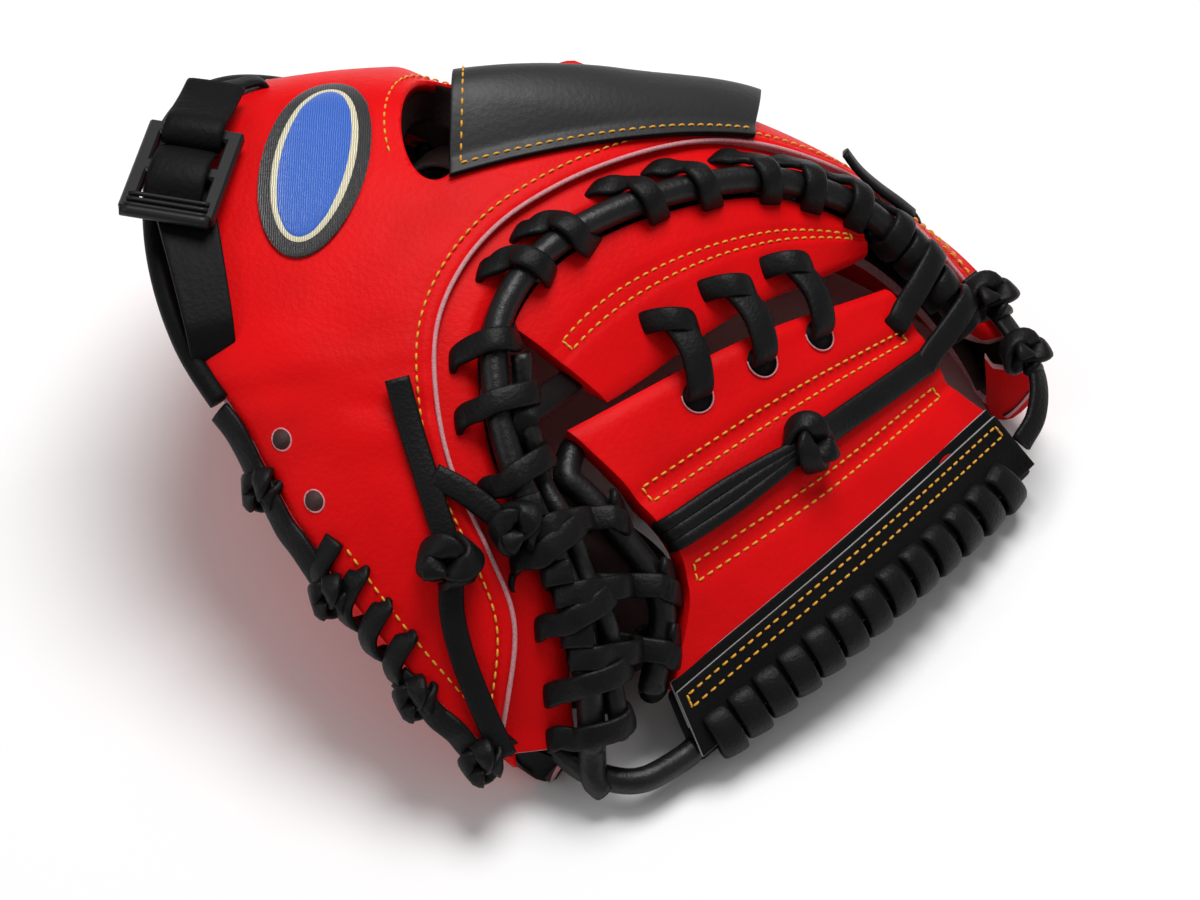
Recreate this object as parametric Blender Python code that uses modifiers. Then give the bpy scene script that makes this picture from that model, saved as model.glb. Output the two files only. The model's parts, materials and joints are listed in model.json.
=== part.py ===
"""Baseball catcher's mitt for the left hand, lying palm down with its back up.

Frame: +X towards the thumb, +Y towards the fingertips, +Z out of the back of the hand.
The origin is on the surface that the rim rests on. Lengths below are in millimetres.
The body is described by stations, numbered from the thumb tip round the heel to the
fingertip. At each station a straight line runs from the crotch, where the web is
laced in, to the outer rim. A place on the body is (station, share of that line).
"""

import math

import bmesh
import bpy
import numpy as np
from mathutils import Matrix, Vector

MM = 0.001

# Leather, cords and fits
LEATHER = 3.0           # shell leather
THIN_LEATHER = 2.0      # lining, strap tab, finger stall
LACE = 4.6              # lace, drawn up round
ROPE = 8.6              # leather-covered roll in the crotch
PIPING = 5.0            # wrist binding
GAP = 0.35              # between pieces that touch
HOLE_GAP = 0.4          # round a lace in its punched hole

# Back of the mitt: a dome, higher than it is wide on the finger side
DOME_TOP = 100.0
DOME_CENTRE = (-35.0, -45.0)
DOME_THUMB = 160.0      # from the centre to the foot of the dome, each way
DOME_FINGERS = 70.0
DOME_TIP = 165.0
DOME_WRIST = 210.0
DOME_POWER = 0.65
DOME_HOLLOW = 15.0      # how much less it reaches to the fingers, behind the finger stall
HOLLOW_SPAN = (-58.0, -40.0, 5.0, 42.0)

# Stations: crotch (x, y), rim (x, y), height of the back at the rim as a share of the dome's,
# height of the front leather's upper edge at the rim
STATIONS = [
    ((115, -2), (119, -26), 0.20, 14),
    ((104, -3), (112, -38), 0.30, 24),
    ((92, -6), (101, -52), 0.40, 34),
    ((78, -14), (87, -66), 0.50, 43),
    ((62, -23), (70, -80), 0.60, 50),
    ((46, -27), (50, -92), 0.70, 52),
    ((30, -27), (28, -108), 0.82, 42),
    ((16, -21), (-2, -117), 0.88, 36),
    ((4, -11), (-34, -117), 0.91, 36),
    ((-7, 3), (-64, -106), 0.80, 42),
    ((-16, 17), (-86, -84), 0.56, 46),
    ((-24, 31), (-94, -50), 0.32, 26),
    ((-31, 46), (-92, -8), 0.28, 22),
    ((-34, 60), (-87, 32), 0.28, 22),
    ((-34, 74), (-76, 66), 0.28, 22),
    ((-28, 86), (-56, 96), 0.28, 22),
    ((-20, 96), (-34, 113), 0.26, 20),
    ((-13, 104), (-10, 121), 0.22, 16),
]
LAST = len(STATIONS) - 1
RIM_ROUND = 26.0        # width over which the back rolls down to the rim
RIM_BULGE = 2.5         # how far the padded rim stands out
RIM_FOOT = 9.0          # from the rim in to where the front leather rests
HEEL_TUCK = 14.0        # how far the front leather is drawn in at the heel
HEEL_SPAN = (4.4, 5.6, 9.6, 10.6)
LEAST_POCKET = 8.0      # height of the front leather at the ends of the crotch
POCKET_CURVE = 2.2
REST_FLAT = 1.8         # worn flat under the rim, where it rests
CROTCH_DEPTH = 26.0     # from the back to the front leather at the crotch
SEAM = 16.0             # from the crotch line to the edge of the back shell
UNDERLAP = 6.0          # of the crotch band under the back shell

# The crease that the mitt folds at, along Y
FOLD_X = 48.0
FOLD_Z = 55.0
FOLD_GAP = 1.5          # each side of the crease
FOLD_CLOSE = 35.0       # degrees that the thumb side closes
FOLD_OPEN = 8.0         # degrees that it opens
CREASE = (4.55, 5.3)    # stations that the thin leather in the fold spans
CREASE_LEATHER = 1.4

# Padding
THUMB_PAD = 10.0
HEEL_PAD = 14.0
FINGER_PAD = 12.0
WRIST_PAD = 4.0
FINGER_LOOP = 4.0       # rise of the loops for thumb and little finger
FINGER_LOOP_SPAN = (0.5, 0.66)

# Wrist strap: an arc that dives under the back shell at its thumb end
STRAP_PLACE = (-12.0, -111.0)
STRAP_BED = (-26.0, -100.0)  # where the back is highest under the buckle
STRAP_RISE = 1.7
STRAP_TURN = 16.0       # degrees from X
STRAP_RADIUS = 100.0
STRAP_WIDTH = 18.0
STRAP_LEATHER = 2.4
STRAP_START = -2.0      # along the arc from its top
STRAP_END = 52.0
STRAP_TRAVEL = 4.0      # each way through the buckle
SLOT_START = 12.0       # of the slot in the back shell, along the arc

# Ladder-lock buckle, above the strap, and the tab that holds its bar
BUCKLE_CENTRE = (-14.0, -111.0)
BUCKLE_TURN = -12.0
BUCKLE_WIDTH = 26.0
BUCKLE_LENGTH = 32.0
BUCKLE_THICK = 3.6
BUCKLE_BAR = 4.0
TAB_TAIL = 20.0         # from the bar to the sewn end of the tab

# Index-finger hole and stall
HOLE_CENTRE = (-35.0, -44.0)
HOLE_LENGTH = 44.0
HOLE_WIDTH = 19.0
STALL_START = (-37.0, -40.0)
STALL_END = (-62.0, 42.0)
STALL_WIDTH = (38.0, 24.0)
STALL_RISE = (13.0, 11.0)

# Patch on the back of the hand
PATCH_CENTRE = (-20.0, -76.0)
PATCH_SIZE = (58.0, 27.0)
PATCH_TURN = -8.0
PATCH_THICK = 1.6

# Web: rows of (thumb end, middle, finger end), from the crotch outwards
LOWER_WEB = ((38, 0, 71), (6, 35, 70), (-27, 74, 53))
LOWER_WEB_STATIONS = (6.2, 14.0)
LOWER_WEB_DROP = 7.0    # under the crotch line
MAIN_WEB = [
    ((49, -6, 66), (16, 40, 64), (-16, 80, 49)),
    ((61, 10, 55), (27, 50, 54), (-8, 87, 43)),
    ((75, 23, 40), (44, 60, 40), (2, 96, 32)),
    ((98, 19, 21), (57, 66, 30), (6, 108, 22)),
]
WEB_THICK = 6.0
EDGE_THICK = 7.0
EDGE_WIDTH = 20.0       # of the web's binding
EDGE_WAYS = ((14.0, 8.0, -13.0), (13.0, 7.0, -11.0), (6.5, 10.0, -10.5))   # out along the binding
EDGE_LOOPS = 13
EDGE_HOLE = 9.0         # from the web's outer edge to its lace holes
CROSS_LACES = (0.3, 0.5, 0.7)

WEB_TIE = 25.0          # reach of the turns that hold the web at the fingers
WEB_STRAPS = ((1.54, 0.8), (2.39, 0.6), (3.24, 0.3))  # station on the thumb, place on the web's end
ROLL_ENDS = {"finger": (5.15, 16.6, 38), "thumb": (0.1, 4.55, 16)}  # stations, points
KNOT_RING = 5.5         # radius of a knot's turn round its own lace
KNOTS = [               # name, knot, lace before it, lace after it
    ("thumb_tie", (84, -39), [(54, -49), (62, -47), (70, -44), (77, -41.5)],
     [(90, -39), (96, -38.5), (101, -36.5), (105, -33)]),
]
CENTRE_LACE = 0.5       # place of the lace along the web's middle, out from the crotch
TIP_LOOP = [(124, 1, 8), (126, 7, 6), (124, 12, 6)]
TIP_LOOP_WIDTH = 7.0    # loop from the web's edge to the thumb tip

LACE_POINTS = 10        # per turn of a winding
CROTCH_LOOPS = 9        # on the finger side
THUMB_LOOPS = 4
WEB_END_LOOPS = 2
RIM_WAVES = (6, 10)     # of the lace along the rim, thumb and finger side

RED = (0.70, 0.02, 0.02)
BLACK = (0.012, 0.012, 0.013)


def smooth(points, place):
    """A point, or several, on the smooth curve through points; place counts them from 0."""
    points = np.asarray(points, float)
    place = np.clip(np.asarray(place, float), 0, len(points) - 1)
    padded = np.vstack([2 * points[0] - points[1], points, 2 * points[-1] - points[-2]])
    i = np.minimum(place.astype(int), len(points) - 2)
    f = (place - i)[..., None]
    a, b, c, d = (padded[i + k] for k in range(4))
    return 0.5 * (2 * b + (c - a) * f + (2 * a - 5 * b + 4 * c - d) * f**2 + (3 * b - a - 3 * c + d) * f**3)


def crotch(s):
    return smooth([st[0] for st in STATIONS], s)


def rim(s):
    return smooth([st[1] for st in STATIONS], s)


def back_rim(s):
    return DOME_TOP * float(smooth([(st[2],) for st in STATIONS], s)[0])


def front_rim(s):
    return float(smooth([(st[3],) for st in STATIONS], s)[0])


def ease(share):
    share = min(1.0, max(0.0, share))
    return share**2 * (3 - 2 * share)


def within(place, span):
    """How far a place is inside a span of four: none outside it, 1 between the middle two."""
    low, full, still_full, high = span
    return ease((place - low) / (full - low)) * ease((high - place) / (high - still_full))


def dome(x, y):
    fingers = DOME_FINGERS - DOME_HOLLOW * within(y, HOLLOW_SPAN)
    across = (x - DOME_CENTRE[0]) / (DOME_THUMB if x > DOME_CENTRE[0] else fingers)
    along = (y - DOME_CENTRE[1]) / (DOME_TIP if y > DOME_CENTRE[1] else DOME_WRIST)
    return DOME_TOP * max(0.0, 1 - across**2 - along**2) ** DOME_POWER


def reach(s):
    """The length of a station's line from the crotch to the rim."""
    return float(np.linalg.norm(rim(s) - crotch(s)))


def back(s, t):
    """The outer face of the back at a place on the body."""
    x, y = crotch(s) + (rim(s) - crotch(s)) * t
    start = 1 - RIM_ROUND / max(reach(s), RIM_ROUND)
    roll = min(1.0, max(0.0, (t - start) / (1 - start)))
    foot = back_rim(s)
    return Vector((x, y, foot + max(0.0, dome(x, y) - foot) * math.sqrt(1 - roll**2)))


def front_start(s):
    """Where the catching face begins on a station's line, beside the roll in the crotch."""
    return (ROPE / 2 + GAP) / reach(s)


def front_foot(s):
    """Where the catching face meets the floor."""
    return 1 - (RIM_FOOT + HEEL_TUCK * within(s, HEEL_SPAN)) / reach(s)


def palm(s, t):
    """The catching face between the crotch and the floor."""
    x, y = crotch(s) + (rim(s) - crotch(s)) * t
    edge = max(dome(*crotch(s)) - CROTCH_DEPTH, LEAST_POCKET)
    u = min(1.0, max(0.0, (t - front_start(s)) / (front_foot(s) - front_start(s))))
    return Vector((x, y, edge * (1 - u**POCKET_CURVE) - REST_FLAT))


def front(s, v):
    """The whole front leather: the palm up to v 0.7, and from there up the padded rim."""
    if v <= 0.7:
        return palm(s, along(v / 0.7, front_start(s), front_foot(s)))
    angle = math.pi * (v - 0.7) / 0.3
    out = front_foot(s) + (RIM_BULGE + RIM_FOOT) / reach(s) * math.sin(angle / 2)
    x, y = crotch(s) + (rim(s) - crotch(s)) * out
    return Vector((x, y, front_rim(s) * (1 - math.cos(angle)) / 2 - REST_FLAT))


def normal(face, s, t):
    """Unit normal of a face, up or into the body, by small steps along it."""
    step = 0.01
    across = face(min(s + step, LAST), t) - face(max(s - step, 0), t)
    down = face(s, min(t + step, 1.0)) - face(s, max(t - step, 0.0))
    return across.cross(down).normalized()


def web_row(row, a):
    return Vector(smooth(row, 2 * a))


def web(rows, a, b):
    """A point on a web panel: a runs from the thumb to the fingers, b out from the crotch."""
    return Vector(smooth([web_row(row, a) for row in rows], b * (len(rows) - 1)))


def web_edge(a, b):
    """A point on the binding, which goes on from the main panel's outer edge."""
    end = web(MAIN_WEB, a, 1.0)
    out = Vector(smooth(EDGE_WAYS, 2 * a)).normalized()
    return end + out * (2 * GAP + b * EDGE_WIDTH)


def material(name, colour, roughness, metallic=0.0):
    made = bpy.data.materials.get(name)
    if made is None:
        made = bpy.data.materials.new(name)
        made.use_nodes = True
        shader = made.node_tree.nodes["Principled BSDF"]
        shader.inputs["Base Color"].default_value = (*colour, 1)
        shader.inputs["Roughness"].default_value = roughness
        shader.inputs["Metallic"].default_value = metallic
    return made


def red_leather():
    return material("red_leather", RED, 0.45)


def black_leather():
    return material("black_leather", BLACK, 0.5)


def felt():
    return material("felt_padding", (0.55, 0.5, 0.42), 0.95)


def lining():
    return material("lining_leather", (0.06, 0.03, 0.03), 0.7)


def plastic():
    return material("black_plastic", (0.01, 0.01, 0.01), 0.35)


def start_scene():
    for obj in list(bpy.data.objects):
        bpy.data.objects.remove(obj)
    for name in ("catchers_mitt", "cutters"):
        bpy.context.scene.collection.children.link(bpy.data.collections.new(name))


def add(name, data, look=None):
    obj = bpy.data.objects.new(name, data)
    bpy.data.collections["catchers_mitt" if look else "cutters"].objects.link(obj)
    if look:
        data.materials.append(look)
    else:
        obj.hide_render = True
        obj.display_type = "WIRE"
    return obj


def sheet(name, place, columns, rows, thickness, look, side=-1):
    """A curved panel: a grid laid on place(u, v), thickened to one side of its normal."""
    grid = bmesh.new()
    bmesh.ops.create_grid(grid, x_segments=columns, y_segments=rows, size=0.5)
    for vert in grid.verts:
        vert.co = Vector(place(vert.co.x + 0.5, vert.co.y + 0.5)) * MM
    mesh = bpy.data.meshes.new(name)
    grid.to_mesh(mesh)
    grid.free()
    mesh.shade_smooth()
    obj = add(name, mesh, look)
    solid = obj.modifiers.new("thickness", "SOLIDIFY")
    solid.thickness = thickness * MM
    solid.offset = side
    solid.use_even_offset = True
    return obj


def slab(name, place, columns, rows, look):
    """A filled layer: place(u, v, w) gives its under face at w 0 and its upper face at w 1."""
    bm = bmesh.new()
    bmesh.ops.create_grid(bm, x_segments=columns, y_segments=rows, size=0.5)
    drawn = bmesh.ops.extrude_face_region(bm, geom=bm.faces[:])
    upper = [g for g in drawn["geom"] if isinstance(g, bmesh.types.BMVert)]
    bmesh.ops.translate(bm, verts=upper, vec=(0, 0, 1))
    bmesh.ops.recalc_face_normals(bm, faces=bm.faces)
    for vert in bm.verts:
        vert.co = Vector(place(vert.co.x + 0.5, vert.co.y + 0.5, vert.co.z)) * MM
    mesh = bpy.data.meshes.new(name)
    bm.to_mesh(mesh)
    bm.free()
    return add(name, mesh, look)


def tube(name, points, width, look=None, detail=1):
    """A round cord along points, with filled ends."""
    curve = bpy.data.curves.new(name, "CURVE")
    curve.dimensions = "3D"
    curve.bevel_depth = width / 2 * MM
    curve.bevel_resolution = detail
    curve.use_fill_caps = True
    spline = curve.splines.new("POLY")
    spline.points.add(len(points) - 1)
    for point, place in zip(spline.points, points):
        point.co = (*(Vector(place) * MM), 1)
    return add(name, curve, look)


def mesh_of(obj, name, look=None):
    """The object's evaluated shape as a mesh object, in place of it."""
    bpy.context.view_layer.update()
    graph = bpy.context.evaluated_depsgraph_get()
    mesh = bpy.data.meshes.new_from_object(obj.evaluated_get(graph))
    bm = bmesh.new()
    bm.from_mesh(mesh)
    bmesh.ops.remove_doubles(bm, verts=bm.verts, dist=1e-6)
    bmesh.ops.recalc_face_normals(bm, faces=bm.faces)
    bm.to_mesh(mesh)
    bm.free()
    matrix = obj.matrix_world.copy()
    bpy.data.objects.remove(obj)
    mesh.materials.clear()
    mesh.name = name
    made = add(name, mesh, look)
    made.matrix_world = matrix
    return made


def cut(obj, cutter):
    bite = obj.modifiers.new("cut_" + cutter.name, "BOOLEAN")
    bite.operation = "DIFFERENCE"
    bite.object = cutter
    bite.solver = "MANIFOLD"


def punch(obj, points, width):
    """Cuts the holes that a cord along points passes through."""
    name = f"holes_{len(bpy.data.collections['cutters'].objects)}"
    cut(obj, mesh_of(tube(name + "_path", points, width + 2 * HOLE_GAP), name))


def prism(name, outline, low, high, look=None):
    """An outline in X and Z, drawn out along Y from low to high."""
    bm = bmesh.new()
    face = bm.faces.new([bm.verts.new(Vector((x, low, z)) * MM) for x, z in outline])
    drawn = bmesh.ops.extrude_face_region(bm, geom=[face])
    moved = [g for g in drawn["geom"] if isinstance(g, bmesh.types.BMVert)]
    bmesh.ops.translate(bm, verts=moved, vec=Vector((0, high - low, 0)) * MM)
    bmesh.ops.recalc_face_normals(bm, faces=bm.faces)
    mesh = bpy.data.meshes.new(name)
    bm.to_mesh(mesh)
    bm.free()
    return add(name, mesh, look)


def fold_cutters():
    """What is cut off each half at the crease: it leaves a wedge open both ways."""
    below, above = FOLD_Z + 30.0, 120.0
    lean = math.tan(math.radians(FOLD_CLOSE / 2 + 1))
    rise = math.tan(math.radians(FOLD_OPEN / 2 + 1))
    made = {}
    for half, way in (("finger", 1), ("thumb", -1)):
        outline = [
            (FOLD_X - way * (FOLD_GAP + lean * below), FOLD_Z - below),
            (FOLD_X - way * FOLD_GAP, FOLD_Z),
            (FOLD_X - way * (FOLD_GAP + rise * above), FOLD_Z + above),
            (FOLD_X + way * 250, FOLD_Z + above),
            (FOLD_X + way * 250, FOLD_Z - below),
        ]
        made[half] = prism(f"beyond_{half}_half", outline, -250, 250)
    return made


def halves(name, place, columns, rows, thickness, look, side, cutters):
    """The two halves of a panel that crosses the crease."""
    made = {}
    for half in ("finger", "thumb"):
        made[half] = sheet(f"{name}_{half}", place, columns, rows, thickness, look, side)
        cut(made[half], cutters[half])
    return made


def along(share, first, last):
    return first + (last - first) * share


def winding(path, loops, toward, away, up, down):
    """Turns of lace round a path. path(u) gives a point and its side and up directions."""
    points = []
    for i in range(loops * LACE_POINTS + 1):
        centre, side, rise = path(i / (loops * LACE_POINTS))
        angle = 2 * math.pi * (i / LACE_POINTS + 0.25)
        across, over = math.cos(angle), math.sin(angle)
        across *= toward if across > 0 else away
        over *= up if over > 0 else down
        points.append(centre + side * across + rise * over)
    return points


def least_gap(name, points, width):
    """Prints how near a winding comes to itself, from its points."""
    spots = np.array([smooth([tuple(p) for p in points], k / 3) for k in range(3 * len(points) - 2)])
    apart = np.linalg.norm(spots[:, None] - spots[None], axis=2)
    steps = np.abs(np.arange(len(spots))[:, None] - np.arange(len(spots))[None])
    print(f"{name}: least gap to itself {apart[steps > 1.5 * LACE_POINTS].min() - width:.2f} mm")


def crotch_path(first, last):
    """The crotch line between two stations, with directions to the rim side and up from it."""
    def spot(s):
        x, y = crotch(s)
        return Vector((x, y, dome(x, y)))

    def path(u):
        s = along(u, first, last)
        ahead = (spot(min(s + 0.1, LAST)) - spot(max(s - 0.1, 0))).normalized()
        side = ahead.cross(Vector((0, 0, -1))).normalized()
        return spot(s), side, ahead.cross(side).normalized()
    return path


def rope_points(first, last, count):
    path = crotch_path(first, last)
    return [path(share)[0] for share in np.linspace(0, 1, round(count))]


def make_body(cutters):
    """Back shell, crotch band and catching face, each in a finger and a thumb half."""
    def shell_place(u, v):
        s = along(u, 0.0, LAST)
        return back(s, along(v, min(0.7, SEAM / reach(s)), 1.0))

    def band_place(u, v):
        s = along(u, 0.4, 14.7)
        near = (ROPE / 2 + GAP) / reach(s)
        t = along(v, near, min(0.85, (SEAM + UNDERLAP) / reach(s)))
        return back(s, t) - normal(back, s, t) * (LEATHER + 2 * GAP)

    def face_place(u, v):
        return front(along(u, 0.0, LAST), v)

    shell = halves("back_shell", shell_place, 40, 9, LEATHER, red_leather(), -1, cutters)
    band = halves("crotch_band", band_place, 40, 2, LEATHER, red_leather(), -1, cutters)
    face = halves("catching_face", face_place, 36, 12, LEATHER, red_leather(), 1, cutters)
    ground = prism("ground", [(-250, -50), (250, -50), (250, 0), (-250, 0)], -250, 250)
    for half in face.values():
        cut(half, ground)
    return shell, band, face


def make_creases():
    """Thin leather that bridges the fold, behind the back and behind the pocket."""
    def back_place(u, v):
        s, t = along(u, *CREASE), along(v, 0.42, 0.94)
        return back(s, t) - normal(back, s, t) * (LEATHER + 2 * GAP)

    def palm_place(u, v):
        s, t = along(u, *CREASE), along(v, 0.12, 0.29)
        return palm(s, t) + normal(palm, s, t) * (LEATHER + 2 * GAP)

    sheet("back_crease", back_place, 4, 6, CREASE_LEATHER, red_leather(), -1)
    sheet("pocket_crease", palm_place, 4, 3, CREASE_LEATHER, red_leather(), 1)


def clear_of(face, s, t):
    """The upright distance that clears a leather face, more where it slopes."""
    return (LEATHER + 2 * GAP) / max(0.35, abs(normal(face, s, t).z))


def fill(s, t, low, high):
    """The space inside at a place: from low over the front leather to high, under the back."""
    spot = palm(s, t)
    bottom = spot.z + clear_of(palm, s, t) + low
    top = min(spot.z + clear_of(palm, s, t) + high, back(s, t).z - clear_of(back, s, t))
    return spot.x, spot.y, bottom, top


def make_pads(cutters):
    def pad(name, first, last, inner, outer, thickness, columns):
        def place(u, v, w):
            s = along(u, first, last)
            x, y, low, high = fill(s, along(v, inner, outer * front_foot(s)), 0, thickness)
            return x, y, along(w, low, high)
        return slab(name, place, columns, 5, felt())

    cut(pad("thumb_pad", 1.5, 4.6, 0.42, 0.97, THUMB_PAD, 12), cutters["thumb"])
    cut(pad("thumb_heel_pad", 5.2, 7.1, 0.35, 0.97, HEEL_PAD, 8), cutters["finger"])
    pad("little_finger_heel_pad", 7.2, 10.2, 0.35, 0.94, HEEL_PAD, 12)
    pad("finger_pad", 10.3, 13.8, 0.4, 0.84, FINGER_PAD, 14)


def make_linings():
    """Palm lining over the pads, wrist pad under the shell, and two finger loops inside."""
    over = HEEL_PAD + GAP

    def palm_place(u, v, w):
        s = along(u, 6.4, 10.1)
        x, y, low, high = fill(s, along(v, 0.35, 0.66), over, over + THIN_LEATHER)
        return x, y, along(w, low, high)

    def wrist_place(u, v):
        s, t = along(u, 6.5, 8.6), along(v, 0.8, 0.97)
        return back(s, t) - normal(back, s, t) * (LEATHER + 4 * GAP)

    slab("palm_lining", palm_place, 14, 6, lining())
    pad = sheet("wrist_pad", wrist_place, 14, 3, WRIST_PAD, felt(), -1)
    loops = (("thumb_loop", 3.0, THUMB_PAD + LACE / 5 + 2 * GAP), ("little_finger_loop", 9.8, over + THIN_LEATHER))
    for name, s, depth in loops:
        points = []
        for i in range(9):
            arch = math.sin(math.pi * i / 8) * FINGER_LOOP
            x, y, low, high = fill(s, along(i / 8, *FINGER_LOOP_SPAN), depth + LACE * 0.8 + arch, 0)
            points.append((x, y, low))
        tube(name, points, LACE, lining())
    return pad


def make_crotch(band):
    """The roll round the crotch, and the lace wound over it and through the band."""
    for half, (first, last, count) in ROLL_ENDS.items():
        tube(f"crotch_roll_{half}", rope_points(first, last, count), ROPE, black_leather(), 2)
    clear = (ROPE / 2 + GAP + LACE / 2) / math.cos(math.pi / LACE_POINTS)
    toward = SEAM - LACE / 2 - 4 * GAP
    turns = {"finger": (5.7, 14.2, CROTCH_LOOPS), "thumb": (0.9, 4.3, THUMB_LOOPS)}
    laces = {}
    for half, (first, last, loops) in turns.items():
        points = winding(crotch_path(first, last), loops, toward, clear, clear, clear + LACE)
        laces[half] = points
        least_gap(f"crotch_lace_{half}", points, LACE)
        tube(f"crotch_lace_{half}", points, LACE, black_leather())
        punch(band[half], points, LACE)
    return laces


def on_back(x, y, height):
    """A place out from the back by height, along the dome's normal."""
    step = 0.5
    slope_x = (dome(x + step, y) - dome(x - step, y)) / (2 * step)
    slope_y = (dome(x, y + step) - dome(x, y - step)) / (2 * step)
    return Vector((x, y, dome(x, y))) + Vector((-slope_x, -slope_y, 1)).normalized() * height


def make_web(laces):
    """The laced web between the thumb and the fingers, in an inner and a main panel."""
    def lower_place(u, v):
        centre, side, up = crotch_path(*LOWER_WEB_STATIONS)(u)
        near = centre - side * LACE - up * LOWER_WEB_DROP
        return near.lerp(web_row(LOWER_WEB, u), v)

    def turned(u, v):
        return lower_place(1 - u, v)

    lower = sheet("web_inner_panel", turned, 20, 3, WEB_THICK - 1, red_leather(), -1)
    punch(lower, laces["finger"], LACE)
    main = sheet("web_main_panel", lambda u, v: web(MAIN_WEB, 1 - u, v), 14, 8, WEB_THICK,
                 red_leather(), -1)
    edge = sheet("web_edge_binding", lambda u, v: web_edge(1 - u, v), 24, 2, EDGE_THICK,
                 black_leather(), -1)
    return lower, main, edge, lower_place


def make_web_laces(lower, main, edge, lower_place):
    """Spiral lace along the web's edge, laces between the panels, and the ties at its ends."""
    def edge_path(u):
        a = along(u, 0.06, 0.96)
        inner, outer = web_edge(a, 0.5), web_edge(a, 1.0)
        side = (inner - outer).normalized()
        ahead = web_edge(min(a + 0.02, 1), 1.0) - web_edge(max(a - 0.02, 0), 1.0)
        up = ahead.cross(side).normalized()
        up = up if up.z > 0 else -up
        return outer - up * (EDGE_THICK / 2), side, up

    over = EDGE_THICK / 2 + LACE / 2 + 2 * GAP
    points = winding(edge_path, EDGE_LOOPS, EDGE_HOLE, LACE / 2 + 2 * GAP, over, over)
    least_gap("web_edge_lace", points, LACE)
    tube("web_edge_lace", points, LACE, black_leather())
    punch(edge, points, LACE)

    for number, a in enumerate(CROSS_LACES, 1):
        start, end = lower_place(a, 0.72), web(MAIN_WEB, a, 0.13)
        drop = Vector((0, 0, -1))
        rise = LACE / 2 + GAP + 1
        points = [start + drop * 2 * WEB_THICK, start, start - drop * rise,
                  (start + end) / 2 - drop * (rise + 3), end - drop * rise, end,
                  end + drop * 2 * WEB_THICK]
        tube(f"web_cross_lace_{number}", points, LACE, black_leather())
        punch(lower, points, LACE)
        punch(main, points, LACE)


def make_web_ties(main):
    """What holds the web's ends: turns at the fingers, a second roll and straps at the thumb."""
    clear = ROPE / 2 + GAP + LACE / 2
    ties = winding(crotch_path(15.2, 16.5), WEB_END_LOOPS, clear + LACE, WEB_TIE, clear + 1,
                   clear + 2 * LACE)
    least_gap("web_finger_lace", ties, LACE)
    tube("web_finger_lace", ties, LACE, black_leather())
    punch(main, ties, LACE)

    def roll_spot(b):
        end = web(MAIN_WEB, 0, b)
        away = (end - web(MAIN_WEB, 0.08, b)).normalized()
        return end + away * (ROPE / 2 + LACE) - Vector((0, 0, WEB_THICK / 2))

    tube("web_thumb_roll", [roll_spot(b) for b in np.linspace(0.05, 0.97, 16)], ROPE, black_leather(), 2)
    path = crotch_path(0, LAST)
    for number, (s, b) in enumerate(WEB_STRAPS, 1):
        centre, side, up = path(s / LAST)
        far = roll_spot(b)
        way = (far - centre).normalized()
        reach_out = ROPE / 2 + LACE / 2
        tube(f"web_thumb_strap_{number}", [centre + way * reach_out, far - way * reach_out], LACE,
             black_leather())


def knot_ring(name, centre, ahead):
    """One turn of lace, drawn tight round its own standing part."""
    ahead = ahead.normalized()
    side = ahead.cross(Vector((0, 0, 1))).normalized()
    up = side.cross(ahead)
    turns = np.linspace(0, 2 * math.pi, 13)[:-1]
    points = [centre + (side * math.cos(a) + up * math.sin(a)) * KNOT_RING for a in turns]
    made = tube(name, points, LACE, black_leather())
    made.data.splines[0].use_cyclic_u = True


def make_ties():
    """Laces tied off over the back of the thumb and along the web, each with its knot."""
    rest = LACE / 2 + 2 * GAP
    lift = KNOT_RING + LACE / 2 + 4 * GAP
    for name, (x, y), before, after in KNOTS:
        knot = on_back(x, y, lift)
        first = [on_back(*spot, rest) for spot in before]
        last = [on_back(*spot, rest) for spot in after]
        knot_ring(f"{name}_knot", knot, last[0] - first[-1])
        tube(f"{name}_lace", first + [knot] + last, LACE, black_leather())

    def on_web(a, height):
        spot = web(MAIN_WEB, a, CENTRE_LACE)
        ahead = web(MAIN_WEB, a + 0.02, CENTRE_LACE) - web(MAIN_WEB, a - 0.02, CENTRE_LACE)
        across = web(MAIN_WEB, a, CENTRE_LACE + 0.02) - web(MAIN_WEB, a, CENTRE_LACE - 0.02)
        out = ahead.cross(across).normalized()
        return spot + (out if out.z > 0 else -out) * height

    ends = [on_web(a, rest) for a in (0.06, 0.2, 0.34)], [on_web(a, rest) for a in (0.62, 0.78, 0.94)]
    knot = on_web(0.48, lift)
    knot_ring("web_centre_knot", knot, ends[1][0] - ends[0][-1])
    tube("web_centre_lace", ends[0] + [knot] + ends[1], LACE, black_leather())

    start = crotch_path(0, LAST)(ROLL_ENDS["thumb"][0] / LAST)[0]
    outer = web_edge(0, 0.7) - Vector((0, 0, EDGE_THICK / 2))
    away = (web_edge(0, 0.7) - web_edge(0.05, 0.7)).normalized()
    ahead = (start - crotch_path(0, LAST)(0.4 / LAST)[0]).normalized()
    lead = TIP_LOOP_WIDTH
    loop = [start + ahead * 2 * GAP, start + ahead * lead, *TIP_LOOP]
    loop += [outer + away * lead, outer + away * 11 * GAP]
    tube("thumb_tip_loop", loop, TIP_LOOP_WIDTH, black_leather(), 2)


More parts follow.
